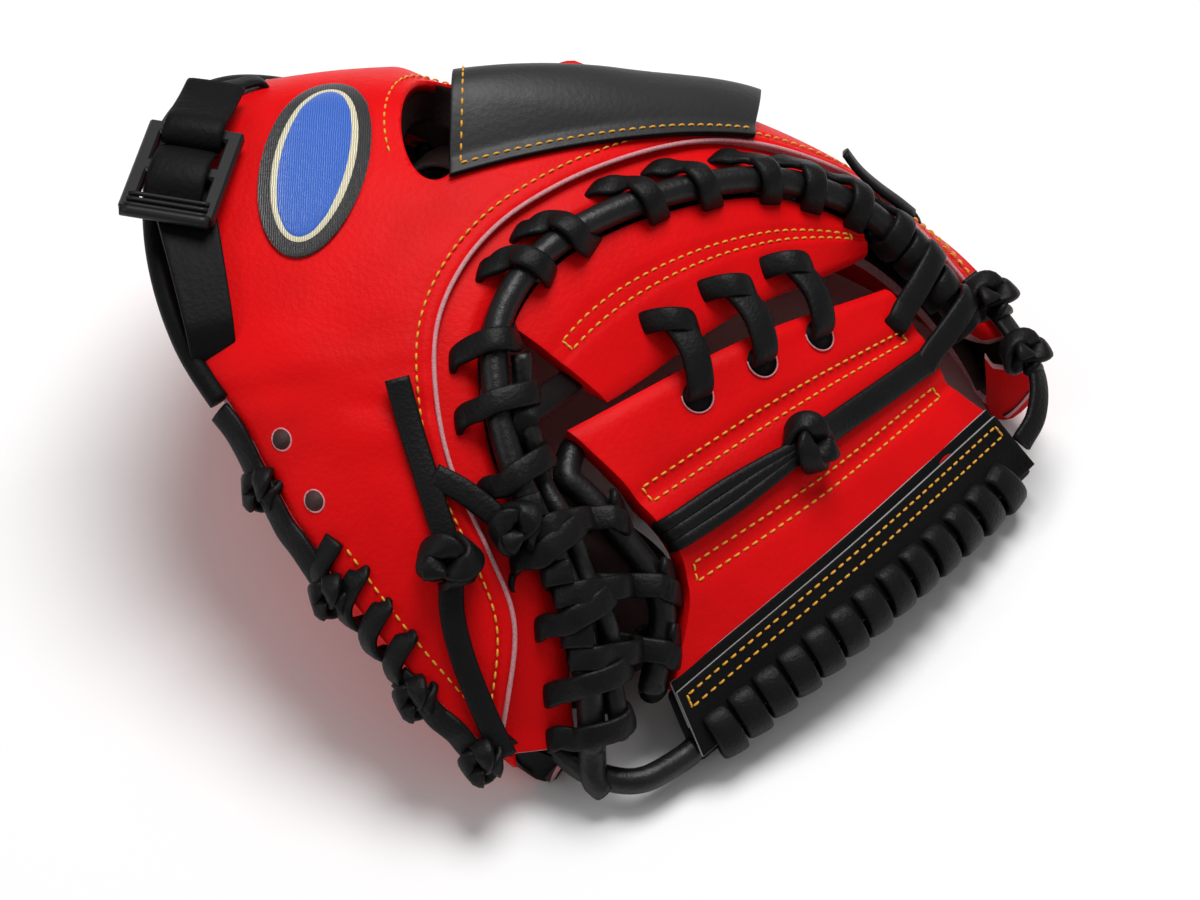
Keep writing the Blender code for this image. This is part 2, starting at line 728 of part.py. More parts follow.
def make_stall(shell):
    """The index finger's hole in the back, and the stall that covers the finger outside."""
    hole = bpy.data.curves.new("finger_hole_outline", "CURVE")
    hole.dimensions = "2D"
    hole.fill_mode = "BOTH"
    hole.extrude = DOME_TOP / 4 * MM
    outline = hole.splines.new("POLY")
    outline.points.add(23)
    outline.use_cyclic_u = True
    for i, point in enumerate(outline.points):
        angle = 2 * math.pi * i / 24
        x = HOLE_CENTRE[0] + math.cos(angle) * HOLE_LENGTH / 2
        y = HOLE_CENTRE[1] + math.sin(angle) * HOLE_WIDTH / 2
        point.co = (x * MM, y * MM, 0, 1)
    made = add("finger_hole_outline", hole)
    made.location.z = DOME_TOP * MM
    cut(shell["finger"], mesh_of(made, "finger_hole"))

    start, end = Vector(STALL_START), Vector(STALL_END)
    side = Vector((1, 0))

    def place(u, v):
        close = 1 - 0.8 * max(0.0, (u - 0.8) / 0.2) ** 2
        angle = math.pi * (1 - v)
        spot = start.lerp(end, u) + side * (math.cos(angle) * along(u, *STALL_WIDTH) / 2 * close)
        return on_back(*spot, 2 * GAP + math.sin(angle) * along(u, *STALL_RISE) * close)

    sheet("index_finger_stall", lambda u, v: place(v, 1 - u), 8, 10, THIN_LEATHER, black_leather(), -1)


def strap_top():
    return Vector((*STRAP_PLACE, dome(*STRAP_BED) + STRAP_RISE))


def strap_spot(length, across, height):
    """A place by the strap: along its arc from the top, across it, and out from it."""
    turn = math.radians(STRAP_TURN)
    ahead = Vector((math.cos(turn), math.sin(turn), 0))
    aside = Vector((-math.sin(turn), math.cos(turn), 0))
    angle = length / STRAP_RADIUS
    radius = STRAP_RADIUS + height
    rise = Vector((0, 0, radius * math.cos(angle) - STRAP_RADIUS))
    return strap_top() + ahead * (radius * math.sin(angle)) + aside * across + rise


def make_strap(shell, pad):
    def band(name, first, last, wide, thick, look=None):
        def place(u, v):
            return strap_spot(along(u, first, last), along(v, -wide / 2, wide / 2), thick / 2)
        return sheet(name, place, 16, 1, thick, look, -1)

    band("wrist_strap", STRAP_START, STRAP_END, STRAP_WIDTH, STRAP_LEATHER, black_leather())
    room = 2 * GAP
    slot = mesh_of(band("slot_shape", SLOT_START, STRAP_END + 2 * STRAP_TRAVEL, STRAP_WIDTH + 2 * room,
                        STRAP_LEATHER + 2 * room), "strap_slot")
    cut(shell["finger"], slot)
    cut(pad, slot)


def flat_outline(name, loops, depth):
    """Closed outlines, holes among them, filled and drawn out both ways."""
    curve = bpy.data.curves.new(name, "CURVE")
    curve.dimensions = "2D"
    curve.fill_mode = "BOTH"
    curve.extrude = depth / 2 * MM
    for loop in loops:
        spline = curve.splines.new("POLY")
        spline.points.add(len(loop) - 1)
        spline.use_cyclic_u = True
        for point, (x, y) in zip(spline.points, loop):
            point.co = (x * MM, y * MM, 0, 1)
    return add(name, curve)


def box_loop(left, right, low, high):
    return [(left, low), (right, low), (right, high), (left, high)]


def make_buckle():
    """A plate with two slots between three bars, and the leather tab round its rear bar."""
    half, wide = BUCKLE_LENGTH / 2, BUCKLE_WIDTH / 2
    inner = wide - BUCKLE_BAR
    first = (-half + BUCKLE_BAR, -BUCKLE_BAR / 2)
    second = (BUCKLE_BAR / 2, half - BUCKLE_BAR)
    loops = [box_loop(-half, half, -wide, wide)]
    loops += [box_loop(*slot, -inner, inner) for slot in (first, second)]
    turn = Matrix.Rotation(math.radians(BUCKLE_TURN), 4, "Z")
    height = strap_top().z + STRAP_LEATHER / 2 + GAP + BUCKLE_THICK / 2
    centre = Vector((*BUCKLE_CENTRE, height))
    plate = flat_outline("buckle_outline", loops, BUCKLE_THICK)
    plate.matrix_world = Matrix.Translation(centre * MM) @ turn
    plate = mesh_of(plate, "buckle", plastic())
    soften = plate.modifiers.new("edges", "BEVEL")
    soften.width = BUCKLE_THICK / 6 * MM
    soften.segments = 1
    soften.limit_method = "ANGLE"

    bar = centre + turn @ Vector((-half + BUCKLE_BAR / 2, 0, 0))
    eye = math.hypot(BUCKLE_BAR, BUCKLE_THICK) / 2 + GAP
    ring = eye + THIN_LEATHER
    hole = [(eye * math.cos(a), eye * math.sin(a)) for a in np.radians(range(0, 360, 20))]
    nose = [(ring * math.cos(a), ring * math.sin(a)) for a in np.radians(range(-90, 91, 15))]
    under, over = [], []
    for step in (0.3, 0.6, 1.0):
        spot = bar + turn @ Vector((-TAB_TAIL * step, 0, 0))
        floor = max(dome(spot.x, spot.y + way * inner) for way in (-1, 0, 1)) - bar.z + 3 * GAP
        under.append((-TAB_TAIL * step, floor))
        over.append((-TAB_TAIL * step, floor + along(step, 2 * ring, THIN_LEATHER)))
    tab = flat_outline("tab_outline", [nose + over + under[::-1], hole], 2 * (inner - 2 * GAP))
    upright = Matrix.Rotation(math.radians(90), 4, "X")
    tab.matrix_world = Matrix.Translation(bar * MM) @ turn @ upright
    mesh_of(tab, "buckle_tab", black_leather())
    print(f"buckle bar at {bar.x:.2f} {bar.y:.2f} {bar.z:.2f} mm")


def make_patch():
    turn = Matrix.Rotation(math.radians(PATCH_TURN), 2)

    def place(u, v):
        x, y = 2 * u - 1, 2 * v - 1
        flat = Vector((x * math.sqrt(1 - y * y / 2), y * math.sqrt(1 - x * x / 2)))
        flat = Vector((flat.x * PATCH_SIZE[0] / 2, flat.y * PATCH_SIZE[1] / 2))
        spot = Vector(PATCH_CENTRE) + turn @ flat
        return on_back(spot.x, spot.y, 2 * GAP)

    sheet("emblem_patch", place, 6, 6, PATCH_THICK, material("patch_cloth", (0.05, 0.1, 0.5), 0.8), 1)


def make_rim():
    """Binding of the wrist edge, and the lace that joins back and front along the rim."""
    def outward(s):
        step = rim(min(s + 0.05, LAST)) - rim(max(s - 0.05, 0))
        way = Vector((-step[1], step[0], 0)).normalized()
        return way if way.dot(Vector((*(rim(s) - crotch(s)), 0))) > 0 else -way

    def edge(s, out, z):
        return Vector((*rim(s), z)) + outward(s) * out

    binding = [edge(s, PIPING / 2 + 2 * GAP, back_rim(s) - LEATHER / 2) for s in np.linspace(5.7, 9.9, 26)]
    tube("wrist_binding", binding, PIPING, black_leather(), 1)
    spans = {"thumb": (0.4, 4.3, RIM_WAVES[0]), "finger": (10.6, 14.9, RIM_WAVES[1])}
    for half, (first, last, waves) in spans.items():
        points = []
        for i in range(4 * waves + 1):
            s = along(i / (4 * waves), first, last)
            clear = outward(s) * (LACE / 2 + 2 * GAP)
            low, high = front(s, 0.88), Vector((*rim(s), back_rim(s)))
            top = front(s, 1.0)
            between = Vector((top.x, top.y, (top.z + high.z) / 2))
            points.append((low, between, high, between)[i % 4] + clear)
        tube(f"rim_lace_{half}", points, LACE, black_leather())


def centre_frame():
    """Puts the origin under the middle of the whole mitt, on the surface that it rests on."""
    bpy.context.view_layer.update()
    graph = bpy.context.evaluated_depsgraph_get()
    corners = []
    for obj in bpy.data.collections["catchers_mitt"].objects:
        shape = obj.evaluated_get(graph)
        mesh = shape.to_mesh()
        corners += [obj.matrix_world @ vert.co for vert in mesh.vertices]
        shape.to_mesh_clear()
    middle = [(min(c[k] for c in corners) + max(c[k] for c in corners)) / 2 for k in (0, 1)]
    for obj in bpy.data.objects:
        obj.matrix_world = Matrix.Translation((-middle[0], -middle[1], 0)) @ obj.matrix_world
    print(f"origin at {middle[0] / MM:.3f} {middle[1] / MM:.3f} mm")


def main():
    start_scene()
    cutters = fold_cutters()
    shell, band, face = make_body(cutters)
    make_creases()
    make_pads(cutters)
    pad = make_linings()
    laces = make_crotch(band)
    panels = make_web(laces)
    make_web_laces(*panels)
    make_web_ties(panels[1])
    make_ties()
    make_stall(shell)
    make_strap(shell, pad)
    make_buckle()
    make_patch()
    make_rim()
    centre_frame()


main()
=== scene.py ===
"""Dresses the catcher's mitt: red leather, black laces, gold sewing, on a white studio floor.

Lengths are in millimetres, in the mitt's drawing frame: +X towards the thumb, +Y towards the
fingertips, +Z out of the back of the hand. place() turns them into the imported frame's metres.
"""

import functools
import json
import math

import bmesh
import bpy
import numpy as np
from mathutils import Matrix, Vector, noise


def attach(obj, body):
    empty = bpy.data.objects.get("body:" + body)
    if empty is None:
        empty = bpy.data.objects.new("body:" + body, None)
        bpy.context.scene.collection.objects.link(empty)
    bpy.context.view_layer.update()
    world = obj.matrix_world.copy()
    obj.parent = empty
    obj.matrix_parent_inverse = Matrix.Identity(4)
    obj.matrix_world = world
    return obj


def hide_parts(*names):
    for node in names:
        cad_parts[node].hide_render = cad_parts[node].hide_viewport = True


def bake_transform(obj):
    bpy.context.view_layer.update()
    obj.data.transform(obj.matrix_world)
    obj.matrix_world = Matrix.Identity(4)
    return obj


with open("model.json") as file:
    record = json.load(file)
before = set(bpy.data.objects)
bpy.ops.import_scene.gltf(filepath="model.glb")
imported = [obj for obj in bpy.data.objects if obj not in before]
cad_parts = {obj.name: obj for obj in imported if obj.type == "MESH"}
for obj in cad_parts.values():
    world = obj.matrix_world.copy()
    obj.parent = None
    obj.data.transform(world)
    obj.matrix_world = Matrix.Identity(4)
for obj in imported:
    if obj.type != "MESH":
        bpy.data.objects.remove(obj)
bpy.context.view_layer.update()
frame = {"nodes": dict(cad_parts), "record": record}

MM = 0.001
UP = Vector((0, 0, 1))
GOLD = (0.78, 0.36, 0.025)
RED = (0.70, 0.0035, 0.005)
BLACK = (0.0045, 0.0045, 0.005)

# The body, as in the solids: crotch, rim, height of the back and of the front at the rim
STATIONS = [
    ((115, -2), (119, -26), 20, 14),
    ((104, -3), (112, -38), 30, 24),
    ((92, -6), (101, -52), 40, 34),
    ((78, -14), (87, -66), 50, 43),
    ((62, -23), (70, -80), 60, 50),
    ((46, -27), (50, -92), 70, 52),
    ((30, -27), (28, -108), 82, 42),
    ((16, -21), (-2, -117), 88, 36),
    ((4, -11), (-34, -117), 91, 36),
    ((-7, 3), (-64, -106), 80, 42),
    ((-16, 17), (-86, -84), 56, 46),
    ((-24, 31), (-94, -50), 32, 26),
    ((-31, 46), (-92, -8), 28, 22),
    ((-34, 60), (-87, 32), 28, 22),
    ((-34, 74), (-76, 66), 28, 22),
    ((-28, 86), (-56, 96), 28, 22),
    ((-20, 96), (-34, 113), 26, 20),
    ((-13, 104), (-10, 121), 22, 16),
]
LAST = len(STATIONS) - 1
LEATHER = 3.0
ROPE = 8.6
ROPE_SHOWN = 7.4        # the roll between its wraps, drawn tight
ROPE_GAP = 0.35         # between the roll and the front leather
SEAM = 16.0
SEWING_IN = 4.2         # from the shell's edge to its row of sewing
UNDERLAP = 6.0
RIM_ROUND = 26.0
RIM_BULGE = 2.5
RIM_FOOT = 9.0
HEEL_TUCK = 14.0
HEEL_SPAN = (4.4, 5.6, 9.6, 10.6)
THUMB_TUCK = 11.0
THUMB_KEPT = 19.0       # the part of a short station's line that no tuck takes
TIP = 0.5               # the station where the front leather begins, at the thumb's tip
THUMB_SPAN = (-2, -1, 4.4, 5.6)
REST_FLAT = 1.8
CROTCH_DEPTH = 26.0
CROTCH_LEAST = 8.0
POCKET_CURVE = 2.2
PALM_SHARE = 0.7        # how much of the front leather is palm; the rest is the padded rim
FOLD_X = 48.0
FOLD_HALF = 30.0        # leather bends over this width each side of the crease
LACE_WIDE = 6.6
LACE_THICK = 2.2

# The dome of the back: its top in plan, its height, and how far it runs each way
DOME_X, DOME_Y, DOME_TOP = -35, -45, 100
DOME_TO_THUMB, DOME_TO_EDGE = 160, 70
DOME_TO_TIPS, DOME_TO_WRIST = 165, 210
DOME_FULLNESS = 0.65
HOLLOW = 15
HOLLOW_SPAN = (-58, -40, 5, 42)

# The opening for the index finger: its middle, and half its length and width
HOLE_X, HOLE_Y = -35, -44
HOLE_LONG, HOLE_WIDE = 22.0, 9.5
HOLE_CUT, HOLE_CUT_Z = 60.0, 96.0

MAIN_WEB = [
    ((49, -6, 66), (16, 40, 64), (-16, 80, 49)),
    ((61, 10, 55), (27, 50, 54), (-8, 87, 43)),
    ((75, 23, 40), (44, 60, 40), (2, 96, 32)),
    ((98, 19, 21), (57, 66, 30), (6, 108, 22)),
]
LOWER_WEB = ((38, 0, 71), (6, 35, 70), (-27, 74, 53))
LOWER_WEB_STATIONS = (6.2, 14.0)
INNER_ROWS = (0.45, 0.56)
EDGE_WIDTH = 20.0
EDGE_WAYS = ((14, 8, -13), (13, 7, -11), (6.5, 10, -10.5))
EDGE_THICK = 7.0
EDGE_LOOPS = 13

STITCH_PITCH = 3.0
STITCH_LONG = 2.1
STITCH_WIDE = 0.68
STITCH_SIDES = 6
# A stitch from end to end: how far along, how high, and how thick, as shares of its length and width
STITCH_RINGS = ((-0.5, -0.55, 0.35), (-0.36, -0.05, 0.85), (0.0, 0.18, 1.0), (0.36, -0.05, 0.85),
                (0.5, -0.55, 0.35))
# A flat lace's rounded edges and slightly crowned face, as shares of half its width and thickness
FLAT_OUTLINE = ((1, 0), (0.93, 0.7), (0.75, 0.95), (0.3, 1.08), (-0.3, 1.08), (-0.75, 0.95), (-0.93, 0.7),
                (-1, 0), (-0.93, -0.7), (-0.7, -0.9), (0.7, -0.9), (0.93, -0.7))
CORD_UP = (0.13, 0.21, 0.97)    # a way that no round cord runs

fold = next(j for j in frame["record"]["behaviour"]["joints"] if j["name"] == "mitt_close")
ORIGIN = Vector((FOLD_X - fold["pos_m"][0] / MM, -fold["pos_m"][1] / MM, 0))


def place(point):
    return (Vector(point) - ORIGIN) * MM


def mix(share, first, last):
    return first + (last - first) * share


def bell(distance, width):
    return math.exp(-(distance / width) ** 2)


def upward(way):
    return way if way.z > 0 else -way


def smooth(points, where):
    """A point on the smooth curve through points; where counts them from 0."""
    points = np.asarray(points, float)
    where = np.clip(np.asarray(where, float), 0, len(points) - 1)
    padded = np.vstack([2 * points[0] - points[1], points, 2 * points[-1] - points[-2]])
    i = np.minimum(where.astype(int), len(points) - 2)
    f = (where - i)[..., None]
    a, b, c, d = (padded[i + k] for k in range(4))
    return 0.5 * (2 * b + (c - a) * f + (2 * a - 5 * b + 4 * c - d) * f**2 + (3 * b - a - 3 * c + d) * f**3)


@functools.cache
def station(s):
    """Crotch x, y, rim x, y, the length between them, and the back and front heights at the rim."""
    row = smooth([(*st[0], *st[1], *st[2:]) for st in STATIONS], s)
    cx, cy, rx, ry, high, low = (float(v) for v in row)
    return cx, cy, rx, ry, math.hypot(rx - cx, ry - cy), high, low


def reach(s):
    return station(s)[4]


def rim_height(s):
    return station(s)[5]


def plan(s, t):
    cx, cy, rx, ry = station(s)[:4]
    return cx + (rx - cx) * t, cy + (ry - cy) * t


def limit(share):
    return min(1.0, max(0.0, share))


def ease(share):
    share = limit(share)
    return share**2 * (3 - 2 * share)


def within(spot, span):
    """How far a place is inside a span of four: none outside it, 1 between the middle two."""
    low, full, still_full, high = span
    return ease((spot - low) / (full - low)) * ease((high - spot) / (high - still_full))


def dome(x, y):
    """How high the back of the hand is over a place in plan."""
    to_edge = DOME_TO_EDGE - HOLLOW * within(y, HOLLOW_SPAN)
    across = (x - DOME_X) / (DOME_TO_THUMB if x > DOME_X else to_edge)
    along = (y - DOME_Y) / (DOME_TO_TIPS if y > DOME_Y else DOME_TO_WRIST)
    return DOME_TOP * max(0.0, 1 - across**2 - along**2) ** DOME_FULLNESS


def back(s, t):
    """The outer face of the back, at share t of station s's line from crotch to rim."""
    x, y = plan(s, t)
    start = 1 - RIM_ROUND / max(reach(s), RIM_ROUND)
    roll = limit((t - start) / max(1 - start, 1e-6))
    foot = rim_height(s)
    return Vector((x, y, foot + max(0.0, dome(x, y) - foot) * math.sqrt(1 - roll**2)))


def front_start(s):
    return (ROPE / 2 + ROPE_GAP) / reach(s)


def front_foot(s):
    """Where the catching face meets the floor. It is drawn in at the heel and the thumb."""
    thumb = min(THUMB_TUCK, reach(s) - THUMB_KEPT) * within(s, THUMB_SPAN)
    tuck = HEEL_TUCK * within(s, HEEL_SPAN) + thumb
    return 1 - (RIM_FOOT + tuck) / reach(s)


def palm(s, t):
    """The catching face between the crotch and the floor."""
    x, y = plan(s, t)
    edge = max(dome(*plan(s, 0)) - CROTCH_DEPTH, CROTCH_LEAST)
    start, foot = front_start(s), front_foot(s)
    u = limit((t - start) / (foot - start))
    return Vector((x, y, edge * (1 - u**POCKET_CURVE) - REST_FLAT))


def front(s, v):
    """The front leather: the palm first, and from there up the padded rim."""
    start, foot = front_start(s), front_foot(s)
    if v <= PALM_SHARE:
        spot = palm(s, mix(v / PALM_SHARE, start, foot))
    else:
        angle = math.pi * (v - PALM_SHARE) / (1 - PALM_SHARE)
        x, y = plan(s, foot + (RIM_BULGE + RIM_FOOT) / reach(s) * math.sin(angle / 2))
        spot = Vector((x, y, station(s)[6] * (1 - math.cos(angle)) / 2 - REST_FLAT))
    spot.z = max(spot.z, 0.0)
    return spot


def normal(face, u, v, last=1, step=0.01):
    """The way that face(u, v) looks; u runs up to last, and v up to 1."""
    along = face(min(u + step, last), v) - face(max(u - step, 0), v)
    across = face(u, min(v + step, 1)) - face(u, max(v - step, 0))
    return along.cross(across).normalized()


def back_up(s, t):
    return normal(back, s, t, LAST)


def on_back(x, y, height=0.0):
    """A place out from the dome of the back, along its normal."""
    slope_x = dome(x + 0.5, y) - dome(x - 0.5, y)
    slope_y = dome(x, y + 0.5) - dome(x, y - 0.5)
    return Vector((x, y, dome(x, y))) + Vector((-slope_x, -slope_y, 1)).normalized() * height


def up_back(x, y):
    return (on_back(x, y, 1.0) - on_back(x, y, 0.0)).normalized()


def laid(points, height=1.7):
    """Points on the back, given in plan, with the way that the back faces there."""
    return [on_back(x, y, height) for x, y in points], [up_back(x, y) for x, y in points]


def web_spot(a, b):
    """A point on the main web panel: a runs from the thumb to the fingers, b out from the crotch."""
    return Vector(smooth([smooth(row, 2 * a) for row in MAIN_WEB], b * (len(MAIN_WEB) - 1)))


def web_up(a, b):
    return upward(normal(web_spot, a, max(b, 0.0), step=0.02))


def web_edge(a, b):
    """A point on the binding, which goes on from the main panel's outer edge."""
    out = Vector(smooth(EDGE_WAYS, 2 * a)).normalized()
    return web_spot(a, 1.0) + out * (0.7 + b * EDGE_WIDTH)


def crotch_spot(s):
    x, y = plan(s, 0)
    return Vector((x, y, dome(x, y)))


def crotch_frame(s):
    """A point on the crotch line, with directions along it, to the rim side, and up."""
    ahead = (crotch_spot(min(s + 0.1, LAST)) - crotch_spot(max(s - 0.1, 0))).normalized()
    side = ahead.cross(-UP).normalized()
    return crotch_spot(s), ahead, side, ahead.cross(side).normalized()


# Materials

def tint(colour, share):
    return tuple(min(1.0, c * share) for c in colour)


class Shader:
    """A Principled material under construction."""

    def __init__(self, name, colour, roughness):
        self.colour = colour
        self.material = bpy.data.materials.new(name)
        self.material.use_nodes = True
        self.tree = self.material.node_tree
        self.out = self.tree.nodes["Principled BSDF"]
        self.set("Base Color", (*colour, 1))
        self.set("Roughness", roughness)
        self.spot = self.tree.nodes.new("ShaderNodeTexCoord").outputs["Object"]

    def set(self, name, value):
        self.out.inputs[name].default_value = value

    def node(self, kind, **inputs):
        made = self.tree.nodes.new(kind)
        for name, value in inputs.items():
            made.inputs[name].default_value = value
        return made

    def link(self, source, target):
        self.tree.links.new(source, target)

    def texture(self, kind, output, scale, **inputs):
        made = self.node(kind, Scale=scale, **inputs)
        self.link(self.spot, made.inputs["Vector"])
        return made.outputs[output]

    def tone(self, share, dark, light):
        """The colour runs from dark to light, as shares of its brightness, along share."""
        ramp = self.node("ShaderNodeValToRGB")
        for stop, position, bright in zip(ramp.color_ramp.elements, (0.3, 0.7), (dark, light)):
            stop.color = (*tint(self.colour, bright), 1)
            stop.position = position
        self.link(share, ramp.inputs["Fac"])
        self.link(ramp.outputs["Color"], self.out.inputs["Base Color"])

    def polish(self, share, low, high):
        """The roughness runs from low to high along share."""
        made = self.node("ShaderNodeMapRange", **{"To Min": low, "To Max": high})
        self.link(share, made.inputs["Value"])
        self.link(made.outputs["Result"], self.out.inputs["Roughness"])

    def bump(self, heights, strength, distance):
        """Bumps of several heights, one over the other."""
        last = None
        for height in heights:
            made = self.node("ShaderNodeBump", Strength=strength, Distance=distance)
            self.link(height, made.inputs["Height"])
            if last:
                self.link(last, made.inputs["Normal"])
            last = made.outputs["Normal"]
        self.link(last, self.out.inputs["Normal"])


def leather(name, colour, roughness, grain=620.0, depth=0.35, vary=0.88, shine=0.2):
    """Smooth-grained leather: pebbles, fine pores, and slow changes of tone and polish."""
    make = Shader(name, colour, roughness)
    make.tone(make.texture("ShaderNodeTexNoise", "Fac", 38.0, Detail=3.0), vary, 1.06)
    pebble = make.texture("ShaderNodeTexVoronoi", "Distance", grain)
    pores = make.texture("ShaderNodeTexNoise", "Fac", grain * 3.4, Detail=2.0)
    creases = make.texture("ShaderNodeTexNoise", "Fac", grain / 7, Detail=4.0, Distortion=0.6)
    make.polish(creases, roughness - 0.09, roughness + 0.1)
    make.bump((creases, pebble, pores), depth, 0.00035)
    make.set("Specular IOR Level", shine)
    return make.material


def fibres(name, colour, roughness, scale, tones, bump, detail, distortion=0.0):
    """Threads or loose fibres, with fine changes of tone and height."""
    make = Shader(name, colour, roughness)
    strands = make.texture("ShaderNodeTexNoise", "Fac", scale, Detail=detail, Distortion=distortion)
    make.tone(strands, *tones)
    make.bump((strands,), *bump)
    return make.material


def suede(name, colour):
    """Raw cut edge or flesh side: pale fibres, no polish."""
    return fibres(name, colour, 0.92, 1500.0, (0.72, 1.12), (0.5, 0.0004), 3.0)


def thread(name, colour):
    """Waxed sewing thread, twisted."""
    return fibres(name, colour, 0.5, 2600.0, (0.75, 1.12), (0.4, 0.0002), 1.0)


def felt(name, colour):
    return fibres(name, colour, 0.97, 900.0, (0.7, 1.1), (0.7, 0.0008), 4.0, 1.2)


def satin(name, colour):
    """Embroidery: rows of shiny thread laid side by side."""
    make = Shader(name, colour, 0.38)
    wave = make.node("ShaderNodeTexWave", Scale=520.0, Distortion=3.0, Detail=2.0)
    wave.bands_direction = "Y"
    make.link(make.spot, wave.inputs["Vector"])
    make.tone(wave.outputs["Fac"], 0.6, 1.15)
    make.bump((wave.outputs["Fac"],), 0.5, 0.0004)
    make.set("Sheen Weight", 0.25)
    return make.material


def plastic(name, colour):
    make = Shader(name, colour, 0.42)
    make.set("Specular IOR Level", 0.25)
    make.bump((make.texture("ShaderNodeTexNoise", "Fac", 3000.0),), 0.12, 0.0001)
    return make.material


RED_LEATHER = leather("red_grain_leather", RED, 0.44, depth=0.2, shine=0.06)
BLACK_LEATHER = leather("black_grain_leather", BLACK, 0.52, 640.0, 0.25, 0.8, 0.09)
ROPE_LEATHER = leather("black_roll_leather", BLACK, 0.4, 640.0, 0.25, 0.8, 0.34)
LACE_LEATHER = leather("black_lace_leather", BLACK, 0.44, 900.0, 0.25, 0.75, 0.16)
# The stall's leather is the black leather made three times lighter: a painted sheen, for the top light's
# reflection on it.
STALL_SHEEN_LEATHER = leather("black_leather_painted_sheen", tint(BLACK, 3.0), 0.5, 640.0, 0.15, 0.85, 0.4)
LINING = leather("brown_lining_leather", (0.055, 0.028, 0.026), 0.62, 480.0, 0.5)
RAW_RED = suede("raw_red_edge", (0.6, 0.27, 0.29))
RAW_BLACK = suede("raw_black_edge", (0.33, 0.33, 0.34))
GOLD_THREAD = thread("gold_thread", GOLD)
FELT = felt("felt", (0.55, 0.5, 0.42))
PLASTIC = plastic("black_plastic", (0.009, 0.009, 0.01))

# The looks of a panel: its outer leather, its cut edge and its inner side
RED_CUT = (RED_LEATHER, RAW_RED, LINING)
RED_FOLDED = (RED_LEATHER, RED_LEATHER, LINING)
BLACK_CUT = (BLACK_LEATHER, RAW_BLACK, RAW_BLACK)


# Mesh makers

def add(name, mesh, *looks):
    obj = bpy.data.objects.new(name, mesh)
    bpy.context.scene.collection.objects.link(obj)
    for look in looks:
        mesh.materials.append(look)
    return obj


def mesh_from(name, points, faces, kinds=None):
    mesh = bpy.data.meshes.new(name)
    mesh.from_pydata([place(p) for p in points], [], faces)
    if kinds is not None:
        mesh.polygons.foreach_set("material_index", kinds)
    mesh.shade_smooth()
    return mesh


def settle(obj):
    """Applies the object's modifiers to its mesh."""
    bpy.context.view_layer.update()
    graph = bpy.context.evaluated_depsgraph_get()
    made = bpy.data.meshes.new_from_object(obj.evaluated_get(graph))
    old = obj.data
    obj.modifiers.clear()
    obj.data = made
    made.name = old.name
    bpy.data.meshes.remove(old)


def round_edges(obj, width, degrees):
    edges = obj.modifiers.new("soft_edges", "BEVEL")
    edges.width = width * MM
    edges.segments = 2
    edges.limit_method = "ANGLE"
    edges.angle_limit = math.radians(degrees)


def slab_faces(columns, rows):
    """Faces of two grids of points and of the wall between their borders; kinds tell these apart."""
    count = (columns + 1) * (rows + 1)

    def at(i, j):
        return i * (rows + 1) + j

    faces, kinds = [], []
    for i in range(columns):
        for j in range(rows):
            quad = (at(i, j), at(i + 1, j), at(i + 1, j + 1), at(i, j + 1))
            faces += [quad, tuple(k + count for k in reversed(quad))]
            kinds += [0, 2]
    border = [at(i, 0) for i in range(columns)] + [at(columns, j) for j in range(rows)]
    border += [at(i, rows) for i in range(columns, 0, -1)] + [at(0, j) for j in range(rows, 0, -1)]
    for first, second in zip(border, border[1:] + border[:1]):
        faces.append((second, first, first + count, second + count))
        kinds.append(1)
    return faces, kinds


def panel(name, face, columns, rows, thickness, looks, soften=0.7):
    """Leather laid on face(u, v), which gives its outer side; thickness goes in from it.

    looks are the outer leather, the raw cut edge and the inner side.
    """
    us, vs = np.linspace(0, 1, columns + 1), np.linspace(0, 1, rows + 1)
    outer = np.array([[face(u, v) for v in vs] for u in us], float)
    inward = np.cross(np.gradient(outer, axis=0), np.gradient(outer, axis=1))
    inward /= np.maximum(np.linalg.norm(inward, axis=2, keepdims=True), 1e-9)
    inner = outer - inward * thickness
    points = np.vstack([outer.reshape(-1, 3), inner.reshape(-1, 3)])
    obj = add(name, mesh_from(name, points, *slab_faces(columns, rows)), *looks)
    if soften:
        round_edges(obj, soften, 50)
        settle(obj)
    obj.data.shade_smooth()
    return obj


def resample(points, step):
    """Points along the smooth curve through points, about step apart."""
    points = np.array([tuple(p) for p in points], float)
    fine = smooth(points, np.linspace(0, len(points) - 1, 20 * len(points)))
    run = np.concatenate([[0], np.cumsum(np.linalg.norm(np.diff(fine, axis=0), axis=1))])
    count = max(3, int(run[-1] / step) + 1)
    want = np.linspace(0, run[-1], count)
    return np.stack([np.interp(want, run, fine[:, k]) for k in range(3)], axis=1)


def spread(ways, count):
    """Directions that go smoothly through the given ones, count of them."""
    ways = np.array([tuple(way) for way in ways], float)
    return smooth(ways, np.linspace(0, len(ways) - 1, count))


def circle(sides):
    return np.linspace(0, 2 * math.pi, sides + 1)[:-1]


def sweep(points, ups, outline):
    """Points and faces of an outline, in (side, up) pairs, drawn along a path."""
    ahead = np.gradient(points, axis=0)
    ahead /= np.linalg.norm(ahead, axis=1, keepdims=True)
    ups = ups - ahead * np.sum(ups * ahead, axis=1, keepdims=True)
    ups /= np.maximum(np.linalg.norm(ups, axis=1, keepdims=True), 1e-9)
    sides = np.cross(ahead, ups)
    outline = np.asarray(outline, float)
    verts = points[:, None] + sides[:, None] * outline[None, :, :1] + ups[:, None] * outline[None, :, 1:]
    size, rings = len(outline), len(points)
    faces = []
    for r in range(rings - 1):
        for k in range(size):
            m = (k + 1) % size
            faces.append((r * size + k, r * size + m, (r + 1) * size + m, (r + 1) * size + k))
    faces.append(tuple(range(size - 1, -1, -1)))
    faces.append(tuple(range((rings - 1) * size, rings * size)))
    return verts.reshape(-1, 3), faces


